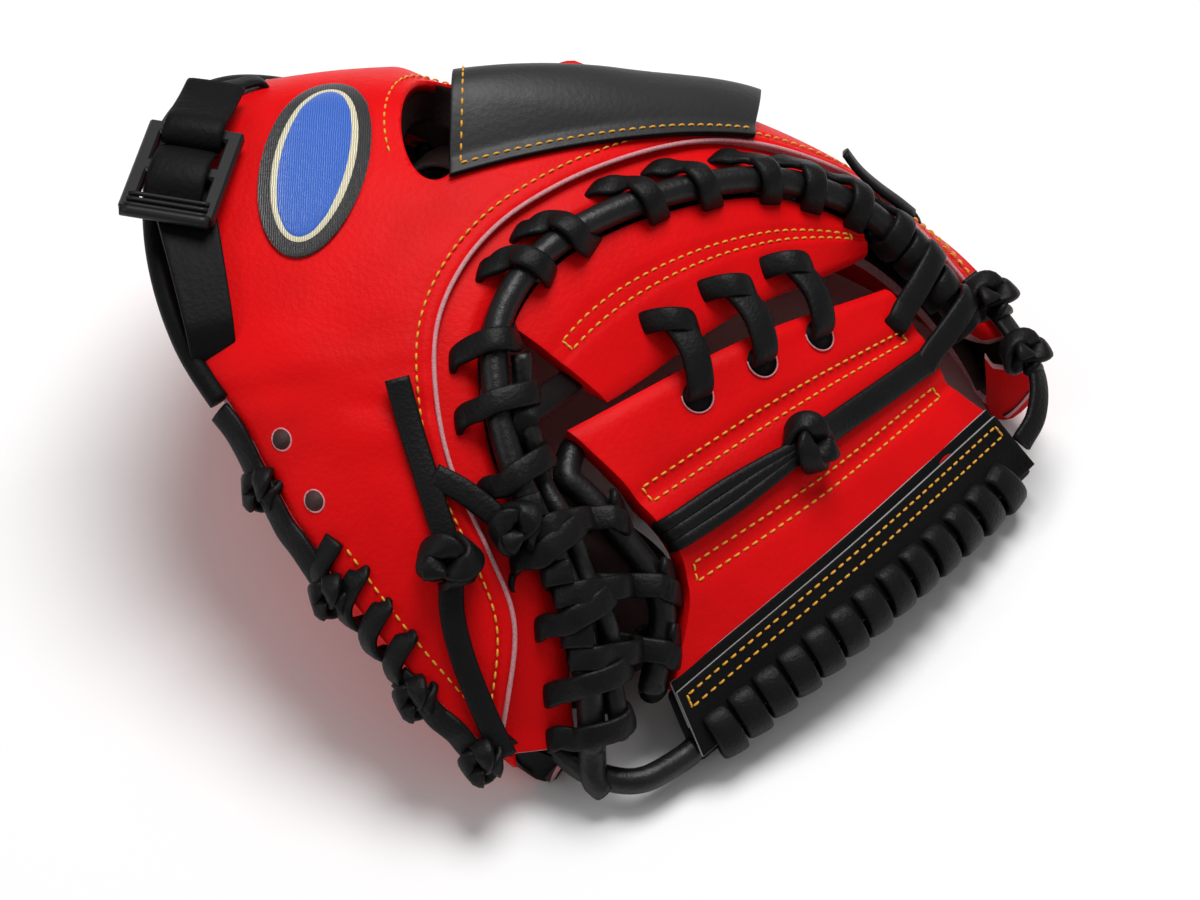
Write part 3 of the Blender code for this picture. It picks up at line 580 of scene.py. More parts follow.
def gather(name, parts, look):
    """One mesh from several (points, faces) parts."""
    points, faces = [], []
    for some, shapes in parts:
        base = len(points)
        points += [tuple(p) for p in some]
        faces += [tuple(k + base for k in face) for face in shapes]
    return add(name, mesh_from(name, points, faces), look)


def lace(name, *parts):
    return gather(name, parts, LACE_LEATHER)


def strip(path, ups, wide=LACE_WIDE, thick=LACE_THICK, step=1.2):
    """A flat lace along path; ups face away from what it lies on, one for each point of path."""
    fine = resample(path, step)
    outline = [(wide / 2 * side, thick / 2 * up) for side, up in FLAT_OUTLINE]
    return sweep(fine, spread(ups, len(fine)), outline)


def cord(path, width, step=1.5, sides=14):
    """A round cord along path."""
    fine = resample(path, step)
    outline = [(math.cos(a) * width / 2, math.sin(a) * width / 2) for a in circle(sides)]
    return sweep(fine, np.tile(CORD_UP, (len(fine), 1)), outline)


def stitch(centre, ahead, up):
    """One stitch: a short bowed bead of thread."""
    side = ahead.cross(up).normalized()
    points, faces = [], []
    for along, lift, girth in STITCH_RINGS:
        middle = centre + ahead * (along * STITCH_LONG) + up * (lift * STITCH_WIDE)
        radius = girth * STITCH_WIDE / 2
        for a in circle(STITCH_SIDES):
            points.append(middle + up * (math.sin(a) * radius) + side * (math.cos(a) * radius))
    count = len(points)
    for r in range(0, count - STITCH_SIDES, STITCH_SIDES):
        for k in range(STITCH_SIDES):
            m = (k + 1) % STITCH_SIDES
            faces.append((r + k, r + STITCH_SIDES + k, r + STITCH_SIDES + m, r + m))
    faces += [tuple(range(STITCH_SIDES)), tuple(range(count - 1, count - 1 - STITCH_SIDES, -1))]
    return points, faces


def sewing(name, lines):
    """Stitches along lines of (points, ups)."""
    parts = []
    for points, ups in lines:
        fine = resample(points, STITCH_PITCH)
        for spot, following, way in zip(fine, fine[1:], spread(ups, len(fine))):
            first, second, up = Vector(spot), Vector(following), Vector(way).normalized()
            ahead = (second - first).normalized()
            up = (up - ahead * up.dot(ahead)).normalized()
            parts.append(stitch((first + second) / 2, ahead, up))
    return gather(name, parts, GOLD_THREAD)


def sewn(face, up, spots, lift):
    """A line for sewing over face, through the places in spots."""
    ups = [up(*spot) for spot in spots]
    return [face(*spot) + way * lift for spot, way in zip(spots, ups)], ups


def double_row(face, up, low, high, first, last, lift=0.15):
    """Two parallel rows of sewing, closed at both ends."""
    lines = [[(a, b) for a in np.linspace(first, last, 40)] for b in (low, high)]
    lines += [[(a, b) for b in np.linspace(low, high, 4)] for a in (first, last)]
    return [sewn(face, up, line, lift) for line in lines]


def rim_row(inset, first, last, count):
    """A row of sewing on the back, at a distance in from the rim."""
    spots = [(s, 1 - inset / reach(s)) for s in np.linspace(first, last, count)]
    return sewn(back, back_up, spots, 0.2)


def knot(centre, ahead, up, size, wide, thick=2.6):
    """A tight overhand knot of flat lace."""
    ahead = ahead.normalized()
    side = ahead.cross(up).normalized()
    up = side.cross(ahead)
    path, ups = [], []
    for t in np.linspace(0.35, 2 * math.pi + 0.1, 34):
        wide_turn = 1.9 + math.cos(3 * t)
        round_about = ahead * (0.8 * math.cos(2 * t)) + side * math.sin(2 * t)
        path.append(centre + (round_about * wide_turn + up * (1.5 * math.sin(3 * t))) * (size / 3))
        outward_way = ahead * math.cos(2 * t) + side * math.sin(2 * t)
        ups.append(outward_way * math.cos(3 * t) + up * (0.4 + math.sin(3 * t)))
    return strip(path, ups, wide, thick, 0.8)


# What a piece moves with, and the CAD nodes that it stands for

def claim(nodes):
    if nodes:
        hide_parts(*nodes)


def ride(obj, body, *nodes, slot=None):
    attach(obj, body)
    claim(nodes)


def bend(obj, *nodes, slot=None):
    """Bakes the piece's placing into its mesh and hides the CAD parts that it stands for."""
    start, end = place((FOLD_X - FOLD_HALF, 0, 0)), place((FOLD_X + FOLD_HALF, 0, 0))
    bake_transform(obj)
    claim(nodes)


def give(obj, first, last, *nodes, slot=None):
    """Bakes the piece's placing into its mesh and hides the CAD parts that it stands for."""
    place(first)
    place(last)
    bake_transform(obj)
    claim(nodes)


# Body

def seam_share(s):
    """Where the back shell's edge lies on a station's line. It runs round to the rim at both ends."""
    thumb = max(0.0, 1 - s / 2.6) ** 2.4
    tip = max(0.0, (s - 15.0) / 2.0) ** 2
    return mix(max(thumb, tip), min(0.7, SEAM / reach(s)), 0.97)


def ripple(point, size, depth):
    return depth * noise.noise(Vector(point) / size)


def shell_face(u, v):
    """The back's leather: drawn in along its seam, uneven, and creased near the fold."""
    s = u * LAST
    first = seam_share(s)
    t = mix(v, first, 1.0)
    spot = back(s, t)
    edge = (t - first) * reach(s)
    groove = -0.55 * bell(edge - SEWING_IN, 1.3) - 0.8 * bell(edge, 1.5)
    creases = bell(spot.x - FOLD_X, 16) * ripple((spot.x * 3, spot.y * 0.7, spot.z), 20, 0.8)
    return spot + back_up(s, t) * (groove + ripple(spot, 26, 0.55) + creases)


def cut_hole(shell):
    """Cuts the opening for the index finger."""
    hole = add("hole", bpy.data.meshes.new("hole"))
    bm = bmesh.new()
    bmesh.ops.create_cone(bm, cap_ends=True, segments=48, radius1=1, radius2=1, depth=1)
    size = Matrix.Diagonal((HOLE_LONG * MM, HOLE_WIDE * MM, HOLE_CUT * MM, 1))
    bmesh.ops.transform(bm, verts=bm.verts, matrix=size)
    bmesh.ops.translate(bm, verts=bm.verts, vec=place((HOLE_X, HOLE_Y, HOLE_CUT_Z)))
    bm.to_mesh(hole.data)
    bm.free()
    bite = shell.modifiers.new("hole", "BOOLEAN")
    bite.object = hole
    bite.material_mode = "INDEX"
    settle(shell)
    bpy.data.objects.remove(hole)
    shell.data.shade_smooth()


def make_back():
    shell = panel("back_shell", shell_face, 240, 64, LEATHER, RED_CUT)
    cut_hole(shell)
    bend(shell, "back_shell_finger", "back_shell_thumb", "back_crease", slot="red_leather")

    spots = [(s, seam_share(s) + SEWING_IN / reach(s)) for s in np.linspace(0.5, 15.6, 220)]
    bend(sewing("seam_stitches", [sewn(back, back_up, spots, 0.1)]))

    spots = [(s, seam_share(s) - 0.4 / reach(s)) for s in np.linspace(0.1, 16.4, 260)]
    cut_edge = sewn(back, back_up, spots, -0.7)[0]
    bend(gather("seam_welt", [cord(cut_edge, 1.3, 1.2, 8)], RAW_RED), slot="red_leather")
    bend(sewing("rim_stitches", [rim_row(6.0, 0.5, 3.4, 70), rim_row(5.0, 10.4, 15.6, 110)]))


def make_front():
    """The band under the back's edge at the crotch, and the leather of the catching face."""
    def band_face(u, v):
        s = u * 16.4
        near = (ROPE / 2 - 0.6) / reach(s)
        t = mix(v, near, min(0.98, seam_share(s) + UNDERLAP / reach(s)))
        curl = -1.6 * bell((t - near) * reach(s), 2.0)
        spot = back(s, t)
        return spot + back_up(s, t) * (curl - LEATHER - 0.1 + ripple(spot, 20, 0.4))

    band = panel("crotch_band", band_face, 200, 14, LEATHER, RED_CUT)
    bend(band, "crotch_band_finger", "crotch_band_thumb", slot="red_leather")

    def catching_face(u, v):
        return front(mix(u, TIP, LAST), 1 - v)

    catching = panel("catching_face", catching_face, 220, 70, LEATHER, RED_CUT)
    bend(catching, "catching_face_finger", "catching_face_thumb", "pocket_crease", slot="red_leather")


# Crotch: the roll, and the lace that ties it to the band

# One turn of lace: over the band ("skin": out from the crotch line, over the back's face), then
# round the roll ("roll": towards the rim, up)
TURN = (
    ("skin", 10.8, -5.0), ("skin", 10.3, -2.0), ("skin", 8.4, -0.3), ("roll", 4.6, 3.2), ("roll", 1.1, 5.1),
    ("roll", -3.1, 4.1), ("roll", -5.2, 0.5), ("roll", -4.3, -4.2), ("roll", 0.0, -8.0), ("roll", 6.0, -9.2),
    ("roll", 10.6, -8.6),
)
TURN_TOP = 7            # how many of those points cross over; the others run on beneath
TURN_LEAN = 0.17        # stations that a turn leans each way


def turn_spot(s, kind, first, second):
    """A point of a turn of lace and the way that its face looks there."""
    if kind == "skin":
        t = first / reach(s)
        out = back_up(s, t)
        toward = (back(s, t + 0.02) - back(s, t)).normalized()
        return back(s, t) + out * second, out.lerp(toward, limit(-second / 3)).normalized()
    centre, _, side, up = crotch_frame(s)
    return centre + side * first + up * second, (side * (first - 2.0) + up * (second + 2.5)).normalized()


def crotch_lace(name, wraps, node, wide=1.0):
    """A lace that crosses the roll at the given stations and runs on beneath between them."""
    spots = []
    for number, wrap in enumerate(wraps):
        following = wraps[min(number + 1, len(wraps) - 1)]
        for k, (kind, first, second) in enumerate(TURN):
            if k < TURN_TOP:
                s = wrap + mix(k / (TURN_TOP - 1), -TURN_LEAN, TURN_LEAN)
            else:
                share = (k - TURN_TOP + 1) / (len(TURN) - TURN_TOP + 1)
                s = mix(share, wrap + TURN_LEAN, following - TURN_LEAN)
            first *= wide if first < 0 else 1.0
            spots.append(turn_spot(max(s, 0.1), kind, first, second))
    bend(lace(name, strip(*zip(*spots))), node, slot="black_leather")


def beside_roll(s):
    """A point on the second strand, which lies along the thumb's roll on the web's side."""
    centre, _, side, up = crotch_frame(s)
    return centre - side * (6.9 + 0.5 * math.sin(5 * s)) - up * (2.2 + 1.3 * math.cos(5 * s))


def make_crotch():
    line = [crotch_spot(s) for s in np.linspace(0.1, 16.6, 90)]
    roll = gather("crotch_roll", [cord(line, ROPE_SHOWN)], ROPE_LEATHER)
    bend(roll, "crotch_roll_finger", "crotch_roll_thumb", slot="black_leather")
    finger_wraps = (5.65, 7.2, 8.1, 9.5, 10.55, 11.75, 12.65, 13.6, 14.5)
    crotch_lace("crotch_wraps_fingers", finger_wraps, "crotch_lace_finger")
    thumb_wraps = (0.3, 1.0, 1.95, 2.85, 3.75, 4.75)
    crotch_lace("crotch_wraps_thumb", thumb_wraps, "crotch_lace_thumb", 2.0)

    line = [beside_roll(s) for s in np.linspace(0.2, 5.6, 60)]
    bend(gather("thumb_second_strand", [cord(line, 5.6)], ROPE_LEATHER), slot="black_leather")

    # A flat lace from that strand to the inner panel's corner
    up = crotch_frame(4.6)[3]
    first, last = beside_roll(4.55), lower_face(0.0, 0.72)
    bridge = [beside_roll(4.2) - up * 1.5, first + up * 3.4, first.lerp(last, 0.45) + up * 1.2,
              last - up * 5.6, lower_face(0.07, 0.72) - up * 8]
    bend(lace("crotch_bridge_lace", strip(bridge, [up] * 5, 7.2, 2.2)), slot="black_leather")

    def behind(u, v):
        near, _, side, up = crotch_frame(mix(u, 0.4, 5.2))
        a, b = 0.13 * (1 - u), 1 - u
        far = web_spot(a, b) - web_up(a, b) * (24 + 12 * u * u)
        return far.lerp(near + side * 2 - up * 16, v)

    lining = panel("thumb_lining", behind, 40, 10, 1.6, (LINING,) * 3, 0.3)
    ride(lining, "thumb_half", slot="lining_leather")


# Web

def lower_up(u, v):
    return crotch_frame(mix(u, *LOWER_WEB_STATIONS))[3]


def lower_face(u, v):
    """The inner panel, from under the roll to its folded outer edge."""
    centre, _, side, up = crotch_frame(mix(u, *LOWER_WEB_STATIONS))
    near = centre - side * 3.4 - up * 3.6
    far = Vector(smooth(LOWER_WEB, 2 * u))
    groove = sum(bell(v - row, 0.05) for row in INNER_ROWS)
    fold_over = max(0.0, v - 0.98) / 0.12
    return near.lerp(far, v) + up * (1.6 * math.sin(math.pi * v) - 0.6 * groove - 2.0 * fold_over**2)


def main_face(a, b):
    """The main panel: a folded upper edge, and padding held down by two rows of sewing."""
    groove = bell(b - 0.333, 0.05) + bell(b - 0.667, 0.05)
    fold_over = max(0.0, 0.03 - b) / 0.1
    spot = web_spot(a, max(b, 0.0))
    spot += (web_spot(a, 0.0) - web_spot(a, 0.06)) * max(0.0, -b / 0.06)
    return spot + web_up(a, b) * (1.0 - 1.2 * groove - 2.6 * fold_over**2 + ripple(spot, 18, 0.5))


def on_web(a, b, height):
    return main_face(a, b) + web_up(a, b) * height


def edge_up(a, b):
    return web_up(a, 1.0)


def binding(name, low, high, lift, thick, looks, soften, *nodes):
    """A layer of the web's bound edge, between two shares of its width."""
    def face(u, v):
        a, b = 1 - u, mix(v, low, high)
        return web_edge(a, b) + edge_up(a, b) * lift

    ride(panel(name, face, 80, 12, thick, looks, soften), "web", *nodes)


def make_web():
    lower = panel("web_inner", lambda u, v: lower_face(1 - u, 1.08 * v), 90, 30, 5.0, RED_FOLDED, 1.8)
    ride(lower, "finger_half", "web_inner_panel", slot="red_leather")
    rows = double_row(lower_face, lower_up, *INNER_ROWS, 0.05, 0.95)
    ride(sewing("web_inner_stitches", rows), "finger_half")

    def main_panel(u, v):
        return main_face(1 - u, mix(v, -0.05, 1.0))

    main = panel("web_main", main_panel, 90, 50, 6.0, RED_FOLDED, 2.4)
    ride(main, "web", "web_main_panel", slot="red_leather")
    rows = double_row(main_face, web_up, 0.30, 0.366, 0.03, 0.95)
    rows += double_row(main_face, web_up, 0.634, 0.70, 0.03, 0.95)
    ride(sewing("web_main_stitches", rows), "web")

    binding("web_binding_core", 0.0, 1.0, 0.0, EDGE_THICK, (BLACK_LEATHER,) * 3, 2.4, "web_edge_binding")
    binding("web_binding_under", -0.16, 0.5, 1.3, 1.3, BLACK_CUT, 0.3)
    binding("web_binding_cover", -0.02, 0.9, 2.5, 1.4, BLACK_CUT, 0.3)
    rows = double_row(web_edge, edge_up, 0.1, 0.27, 0.02, 0.98, 2.6)
    ride(sewing("web_binding_stitches", rows), "web")


# One turn of the lace round the web's edge: in along the panel, up
EDGE_TURN = (
    (9.4, -1.5), (9.2, 3.0), (8.2, 6.4), (4.0, 7.4), (0.0, 6.6), (-2.8, 4.2), (-3.6, 0.0), (-2.8, -3.8),
    (0.0, -5.4), (4.0, -5.8), (8.4, -5.2),
)


def edge_frame(a):
    """The middle of the binding's outer edge, with directions in along the panel and up."""
    outer = web_edge(a, 1.0)
    side = (web_edge(a, 0.5) - outer).normalized()
    ahead = web_edge(min(a + 0.02, 1), 1.0) - web_edge(max(a - 0.02, 0), 1.0)
    up = upward(ahead.cross(side).normalized())
    return outer - up * (EDGE_THICK / 2), side, up


def make_edge_lace():
    spots, ups = [], []
    count = EDGE_LOOPS * len(EDGE_TURN)
    for k in range(count + 1):
        origin, side, up = edge_frame(mix(k / count, 0.05, 0.96))
        into, rise = EDGE_TURN[k % len(EDGE_TURN)]
        spots.append(origin + side * into + up * rise)
        ups.append((side * (into - 3.5) + up * rise * 1.4).normalized())
    edge = lace("web_edge_wraps", strip(spots, ups, 7.8, 2.6))
    ride(edge, "web", "web_edge_lace", slot="black_leather")


# The second band of a cross lace, over the inner panel's edge: aside, up, on to the main panel
CROSS_BAND = ((-6.5, -4.0, -1.0), (-5.5, 1.2, -1.0), (-1.5, 5.6, 0.5), (3.5, 5.4, 2.5), (6.5, 1.6, 5.0),
              (6.0, -4, 6.5))


def make_cross_laces():
    """The laces between the web's panels, and the holes that they go into."""
    holes, hole_edges = [], []
    for number, a in enumerate((0.3, 0.5, 0.7), 1):
        start, end, up = lower_face(a, 0.84), main_face(a, 0.09), web_up(a, 0.1)
        over = (start + end) / 2
        way = (end - start).normalized()
        aside = up.cross(way).normalized()
        path = [start - up * 7 - way, start + up * 0.5 - way * 0.5,
                start + up * 3.6 + way * 2.5 + aside * 1.2, over + up * 5.2 + aside * 2.0,
                end + up * 4.0 - way * 3.0 + aside * 0.8, end + up * 1.2, end - up * 6 + way]
        faces = [-way, up * 0.4 - way, up - way * 0.5, up, up + way * 0.4, up * 0.4 + way, way]
        band = [start + aside * x + up * y + way * z for x, y, z in CROSS_BAND]
        tilts = [-aside, up - aside, up * 2 - aside * 0.4, up * 2 + aside * 0.5, up + aside * 1.4, aside]
        both = strip(path, faces, 8.0, 2.6, 0.9), strip(band, tilts, 6.4, 2.3)
        obj = lace(f"web_cross_{number}", *both)
        give(obj, start, end, f"web_cross_lace_{number}", slot="black_leather")
        hole = end + way * 0.3
        holes.append(cord([hole - up * 1.5, hole, hole + up * 0.25], 8.6, 0.5, 16))
        half_round = np.linspace(-0.4, 3.5, 16)
        ring = [hole + up * 0.3 + (aside * math.cos(k) + way * math.sin(k)) * 4.5 for k in half_round]
        hole_edges.append(cord(ring, 0.45, 0.8, 8))
    ride(gather("web_lace_holes", holes, BLACK_LEATHER), "web")
    ride(gather("web_lace_hole_edges", hole_edges, RAW_RED), "web")


# The web's centre lace, as (share along the web, height): three strands to its knot, one after it
CENTRE_KNOT = 0.48
CENTRE_BEFORE = ((0.0, -2.5), (0.01, 0.8), (0.06, 2.1), (0.2, 2.1), (0.34, 2.1), (0.44, 3.4))
CENTRE_AFTER = ((0.52, 3.4), (0.62, 1.9), (0.78, 1.9), (0.92, 1.9), (0.98, 0.8), (1.0, -2.5))


def make_centre_lace():
    strands = []
    ups = [web_up(a, 0.5) for a, _ in CENTRE_BEFORE]
    for offset in (-0.042, 0.0, 0.042):
        apart = [offset * min(1, 0.3 + 3 * abs(a - CENTRE_KNOT)) for a, _ in CENTRE_BEFORE]
        path = [on_web(a, 0.5 + aside, h) for (a, h), aside in zip(CENTRE_BEFORE, apart)]
        strands.append(strip(path, ups, 3.6, 2.9))
    path = [on_web(a, 0.5, h) for a, h in CENTRE_AFTER]
    strands.append(strip(path, [web_up(a, 0.5) for a, _ in CENTRE_AFTER], 7.4, 2.5))
    ride(lace("web_centre_strands", *strands), "web", "web_centre_lace")
    ahead = main_face(CENTRE_KNOT + 0.07, 0.5) - main_face(CENTRE_KNOT - 0.07, 0.5)
    middle = knot(on_web(CENTRE_KNOT, 0.5, 4.4), ahead, web_up(CENTRE_KNOT, 0.5), 7.2, 6.4)
    ride(lace("web_middle_knot", middle), "web", "web_centre_knot")


FINGER_TIES = 0.955     # how far along the web they hold it


def roll_spot(b):
    """A point on the second roll, which runs along the web's thumb end."""
    end = web_spot(0, b)
    away = (end - web_spot(0.08, b)).normalized()
    return end + away * (ROPE / 2 + 4.6) - UP * 3.0


def loop_round(first, second, ahead, lift):
    """A flat loop round two places, as a lace goes round two rolls."""
    way = (second - first).normalized()
    over = upward(ahead.cross(way).normalized())
    r = ROPE_SHOWN / 2 + LACE_THICK / 2 + 0.3 + lift
    middle = (first + second) / 2
    ring = [(first - way * r, -way), (first + over * r, over), (middle + over * (r - 0.4), over),
            (second + over * r, over), (second + way * r, way), (second - over * r, -over),
            (middle - over * (r - 0.4), -over), (first - over * r, -over)]
    ring += ring[:2]
    lean = [ahead * mix(k / (len(ring) - 1), -3.5, 3.5) for k in range(len(ring))]
    return strip([p + d for (p, _), d in zip(ring, lean)], [u for _, u in ring])


def make_thumb_ties():
    """The second roll, and the laces between it and the thumb's roll, which lie one over the other."""
    under = [web_spot(a, b) - web_up(a, b) * drop
             for a, b, drop in ((0.05, 0.04, 8), (0.0, 0.02, 6), (0.0, 0.97, 8), (0.08, 0.95, 11))]
    path = under[:2] + [roll_spot(b) for b in np.linspace(0.09, 0.92, 16)] + under[2:]
    ride(gather("web_second_roll", [cord(path, ROPE_SHOWN)], ROPE_LEATHER), "web", "web_thumb_roll")
    web_side = []
    for number, (s, b) in enumerate(((1.54, 0.8), (2.39, 0.6), (3.24, 0.3)), 1):
        near, ahead = crotch_frame(s)[:2]
        far = roll_spot(b)
        obj = lace(f"web_strap_{number}", loop_round(near, near.lerp(far, 0.5), ahead, 0.0))
        ride(obj, "thumb_half", f"web_thumb_strap_{number}", slot="black_leather")
        web_side.append(loop_round(far, far.lerp(near, 0.12), ahead, 0.7))
    ride(lace("web_roll_wraps", *web_side), "web", slot="black_leather")


def make_finger_ties():
    """The laces that hold the web at the fingers, and turns of lace round the end of the roll."""
    parts = []
    for s, b in ((15.25, 0.22), (16.2, 0.5)):
        near, _, side, up = crotch_frame(s)
        far, out = main_face(FINGER_TIES, b), web_up(FINGER_TIES, b)
        way = (far - near).normalized()
        path = [near - up * 6 + side * 3, near + side * 6.5, near + up * 5.8 + side * 2,
                near.lerp(far, 0.5) + up * 4.5, far + out * 2.2 - way * 3, far + out * 1.4 + way * 1.5,
                far - out * 5 + way * 3]
        parts.append(strip(path, [side - up, side, up + side * 0.4, up, out, out + way, way], 7.0, 2.4))
    ties = lace("web_finger_ties", *parts)
    give(ties, crotch_spot(15.7), main_face(FINGER_TIES, 0.36), "web_finger_lace")

    rings = []
    for s in (15.0, 15.75, 16.45):
        centre, ahead, side, up = crotch_frame(s)
        ring = [side * math.cos(a) + up * math.sin(a) for a in np.linspace(-1.8, 4.7, 12)]
        lean = np.linspace(-3.0, 3.0, 12)
        path = [centre + way * (ROPE_SHOWN / 2 + 1.3) + ahead * shift for way, shift in zip(ring, lean)]
        rings.append(strip(path, ring, 6.4, 2.3))
    ride(lace("finger_end_wraps", *rings), "finger_half")


def make_tip_cord():
    """The roll's end at the thumb tip, and the loop from there to the web's edge."""
    start = crotch_spot(0.1)
    ahead = (start - crotch_spot(0.4)).normalized()
    outer = web_edge(0, 0.7) - UP * (EDGE_THICK / 2)
    away = (web_edge(0, 0.7) - web_edge(0.05, 0.7)).normalized()
    tail = [start - ahead * 3, start + ahead * 2, (118.5, -1.5, 10), (119.5, 1, 7)]
    path = [(103, -17, 13), (109, -11, 10.5), (114.5, -4.5, 9), (117.8, 4, 8.5), (117.5, 12, 8.5),
            outer + away * 4, outer - away]
    loop = gather("thumb_tip_cord", [cord(tail, ROPE_SHOWN), cord(path, 7.0)], ROPE_LEATHER)
    ride(loop, "thumb_half", "thumb_tip_loop")


# Laces tied off over the thumb, and the ends of the thumb and the fingers

def make_ties():
    before, ups_before = laid([(45, -52.5), (51, -50.5), (58, -48), (66, -45), (74, -42), (80, -39.5)])
    before[0] += UP * 2.5
    before[1] += UP
    after, ups_after = laid([(88, -38.5), (95, -38), (103, -35), (111, -30), (117, -25)])
    bend(lace("thumb_tie_ends", strip(before, ups_before), strip(after, ups_after)), "thumb_tie_lace")
    bow = knot(on_back(84, -39, 5.0), after[0] - before[-1], up_back(84, -39), 7.4, 6.6)
    ride(lace("thumb_tie_bow", bow), "thumb_half", "thumb_tie_knot")

    second, ups_second = laid([(66, -43), (69, -36), (72.5, -30), (75.5, -25)], 1.8)
    bend(lace("thumb_second_lace", strip(second, ups_second)))
    bow = knot(on_back(76.5, -22, 4.2), second[-1] - second[0], up_back(76.5, -22), 6.4, 6.0)
    ride(lace("thumb_second_knot", bow), "thumb_half")


def tip_cap(name, s, inward, first, looks):
    """Leather that closes an end of the mitt; inward is 1 if its stations rise from s, or else -1."""
    ahead = (back(s, 0.6) - back(s + 0.5 * inward, 0.6)).normalized()

    def face(u, v):
        u = u if inward > 0 else 1 - u
        top, low = back(s, mix(u, first, 1.0)), front(s, mix(u, 0.15, 1.0))
        out = 1.2 * math.sin(math.pi * v) * math.sin(math.pi * mix(u, 0.08, 0.92))
        return top.lerp(low, v) + ahead * (out + 0.4)

    return panel(name, face, 20, 16, 2.0, looks, 0.5)


def make_tips():
    """The ends of the thumb and the fingers, and the lace tied at the fingertips."""
    thumb = tip_cap("thumb_tip", TIP, 1, seam_share(TIP), (BLACK_LEATHER, BLACK_LEATHER, LINING))
    ride(thumb, "thumb_half", slot="black_leather")
    ride(tip_cap("finger_tip", LAST, -1, 0.2, RED_CUT), "finger_half", slot="red_leather")

    spots = [(-30, 103, 40), (-25, 108, 36), (-14, 115, 34), (-2, 121, 31), (9, 120.5, 27), (17, 116, 24)]
    ups = [(0.2, 0.4, 0.9), (0.2, 0.5, 0.8), (0.3, 0.6, 0.7), (0.5, 0.7, 0.5), (0.7, 0.5, 0.5),
           (0.8, 0.3, 0.5)]
    ride(lace("finger_tip_lace", strip(spots, ups, 6.5, 2.3)), "finger_half")
    knots = [knot(Vector((-24, 109, 38)), Vector((1, 0.6, -0.2)), Vector((0.2, 0.5, 0.85)), 7.0, 6.0),
             knot(Vector((-7, 118, 34)), Vector((1, 0.4, -0.3)), Vector((0.4, 0.6, 0.7)), 6.4, 5.6)]
    ride(lace("finger_tip_knots", *knots), "finger_half")
    loose, ups = laid([(-47.5, 65), (-46, 70), (-44.5, 76), (-42.5, 82), (-41, 86)], 2.0)
    loose[0] += ups[0] * 3.5
    loose[1] += ups[1] * 1.2
    ride(lace("finger_loose_end", strip(loose, ups, 5.0, 2.0)), "finger_half")


# Back of the hand: stall, strap, buckle, patch, binding

STALL_START, STALL_END = Vector((-33, -40)), Vector((-60, 42))
STALL_WIDE, STALL_HIGH = (30.0, 20.0), (7.5, 6.5)
STALL_FLANGE = 0.14     # the share of the stall's leather that is its sewn flange
# Across the stall: how far out from its middle, and how high, as shares of its half width and height
STALL_ARCH = ((1.0, 0.0), (0.55, 0.46), (0.1, 0.82), (-0.35, 1.0), (-0.75, 0.72), (-1.0, 0.0))


@functools.cache
def shell_spots():
    return np.array([back(s, t) for s in np.linspace(8, LAST, 270) for t in np.linspace(0.2, 1, 120)])


def shell_height(x, y):
    """How high the back is over a place in plan, where it rolls down to the rim."""
    spots = shell_spots()
    return spots[np.argmin((spots[:, 0] - x) ** 2 + (spots[:, 1] - y) ** 2), 2]


def stall_face(u, v):
    """The index finger's stall: a sewn flange on the near side, then an arch over the finger."""
    half = mix(u, *STALL_WIDE) / 2
    if v < STALL_FLANGE:
        out, rise = half + 5.0 * (STALL_FLANGE - v) / STALL_FLANGE, 0.0
    else:
        share, high = smooth(STALL_ARCH, 5 * (v - STALL_FLANGE) / (1 - STALL_FLANGE))
        out, rise = half * share, max(0.0, high) * mix(u, *STALL_HIGH)
    x, y = STALL_START.lerp(STALL_END, u) + Vector((out, 0))
    lowered = max(0.0, dome(x, y) - shell_height(x, y) - 0.2)
    return on_back(x, y, 2.4 + rise) - UP * (lowered * max(0.0, -out / half))


def stall_up(u, v):
    return normal(stall_face, u, v)


def make_stall():
    # The stall's outer face takes the lightened black leather, whose extra brightness is painted sheen.
    stall = panel("finger_stall", stall_face, 60, 40, 2.0, (STALL_SHEEN_LEATHER, BLACK_LEATHER, LINING), 0.5)
    ride(stall, "finger_half", "index_finger_stall", slot="black_leather")
    rows = ([(u, STALL_FLANGE / 2) for u in np.linspace(0.03, 0.98, 40)],
            [(0.035, v) for v in np.linspace(STALL_FLANGE / 2, 0.9, 30)])
    ride(sewing("stall_stitches", [sewn(stall_face, stall_up, row, 0.2) for row in rows]), "finger_half")
    arch = [on_back(-60, y, h) for y, h in ((-14, 0.5), (-11.5, 5.0), (-7, 6.0), (-4, 0.5))]
    tab = gather("stall_tab", [strip(arch, [(0.3, 0, 1)] * 4, 6.0, 2.0)], RED_LEATHER)
    ride(tab, "finger_half", slot="red_leather")


def round_hole(angle, longer, wider):
    """A place in plan on an oval round the opening for the index finger."""
    return HOLE_X + math.cos(angle) * (HOLE_LONG + longer), HOLE_Y + math.sin(angle) * (HOLE_WIDE + wider)


def make_hole_edge():
    def collar(u, v):
        return on_back(*round_hole(2 * math.pi * u, 0.6, 0.6), -1.0) - UP * (16 * v)

    wall = panel("hole_lining", collar, 48, 8, 1.2, (LINING,) * 3, 0)
    ride(wall, "finger_half", slot="lining_leather")
    angles = np.linspace(math.radians(60), math.radians(300), 40)
    row = laid([round_hole(angle, 4.0, 4.5) for angle in angles], 0.15)
    ride(sewing("hole_stitches", [row]), "finger_half")


STRAP_TOP = Vector((-12, -111, dome(-26, -100) + 1.7))
STRAP_TURN = math.radians(16)
STRAP_ROUND = 100       # the radius that the strap curves to
BUCKLE_TURN = Matrix.Rotation(math.radians(-12), 3, "Z")
BUCKLE_MIDDLE = Vector((-14, -111, STRAP_TOP.z + 1.2 + 0.35 + 1.8))


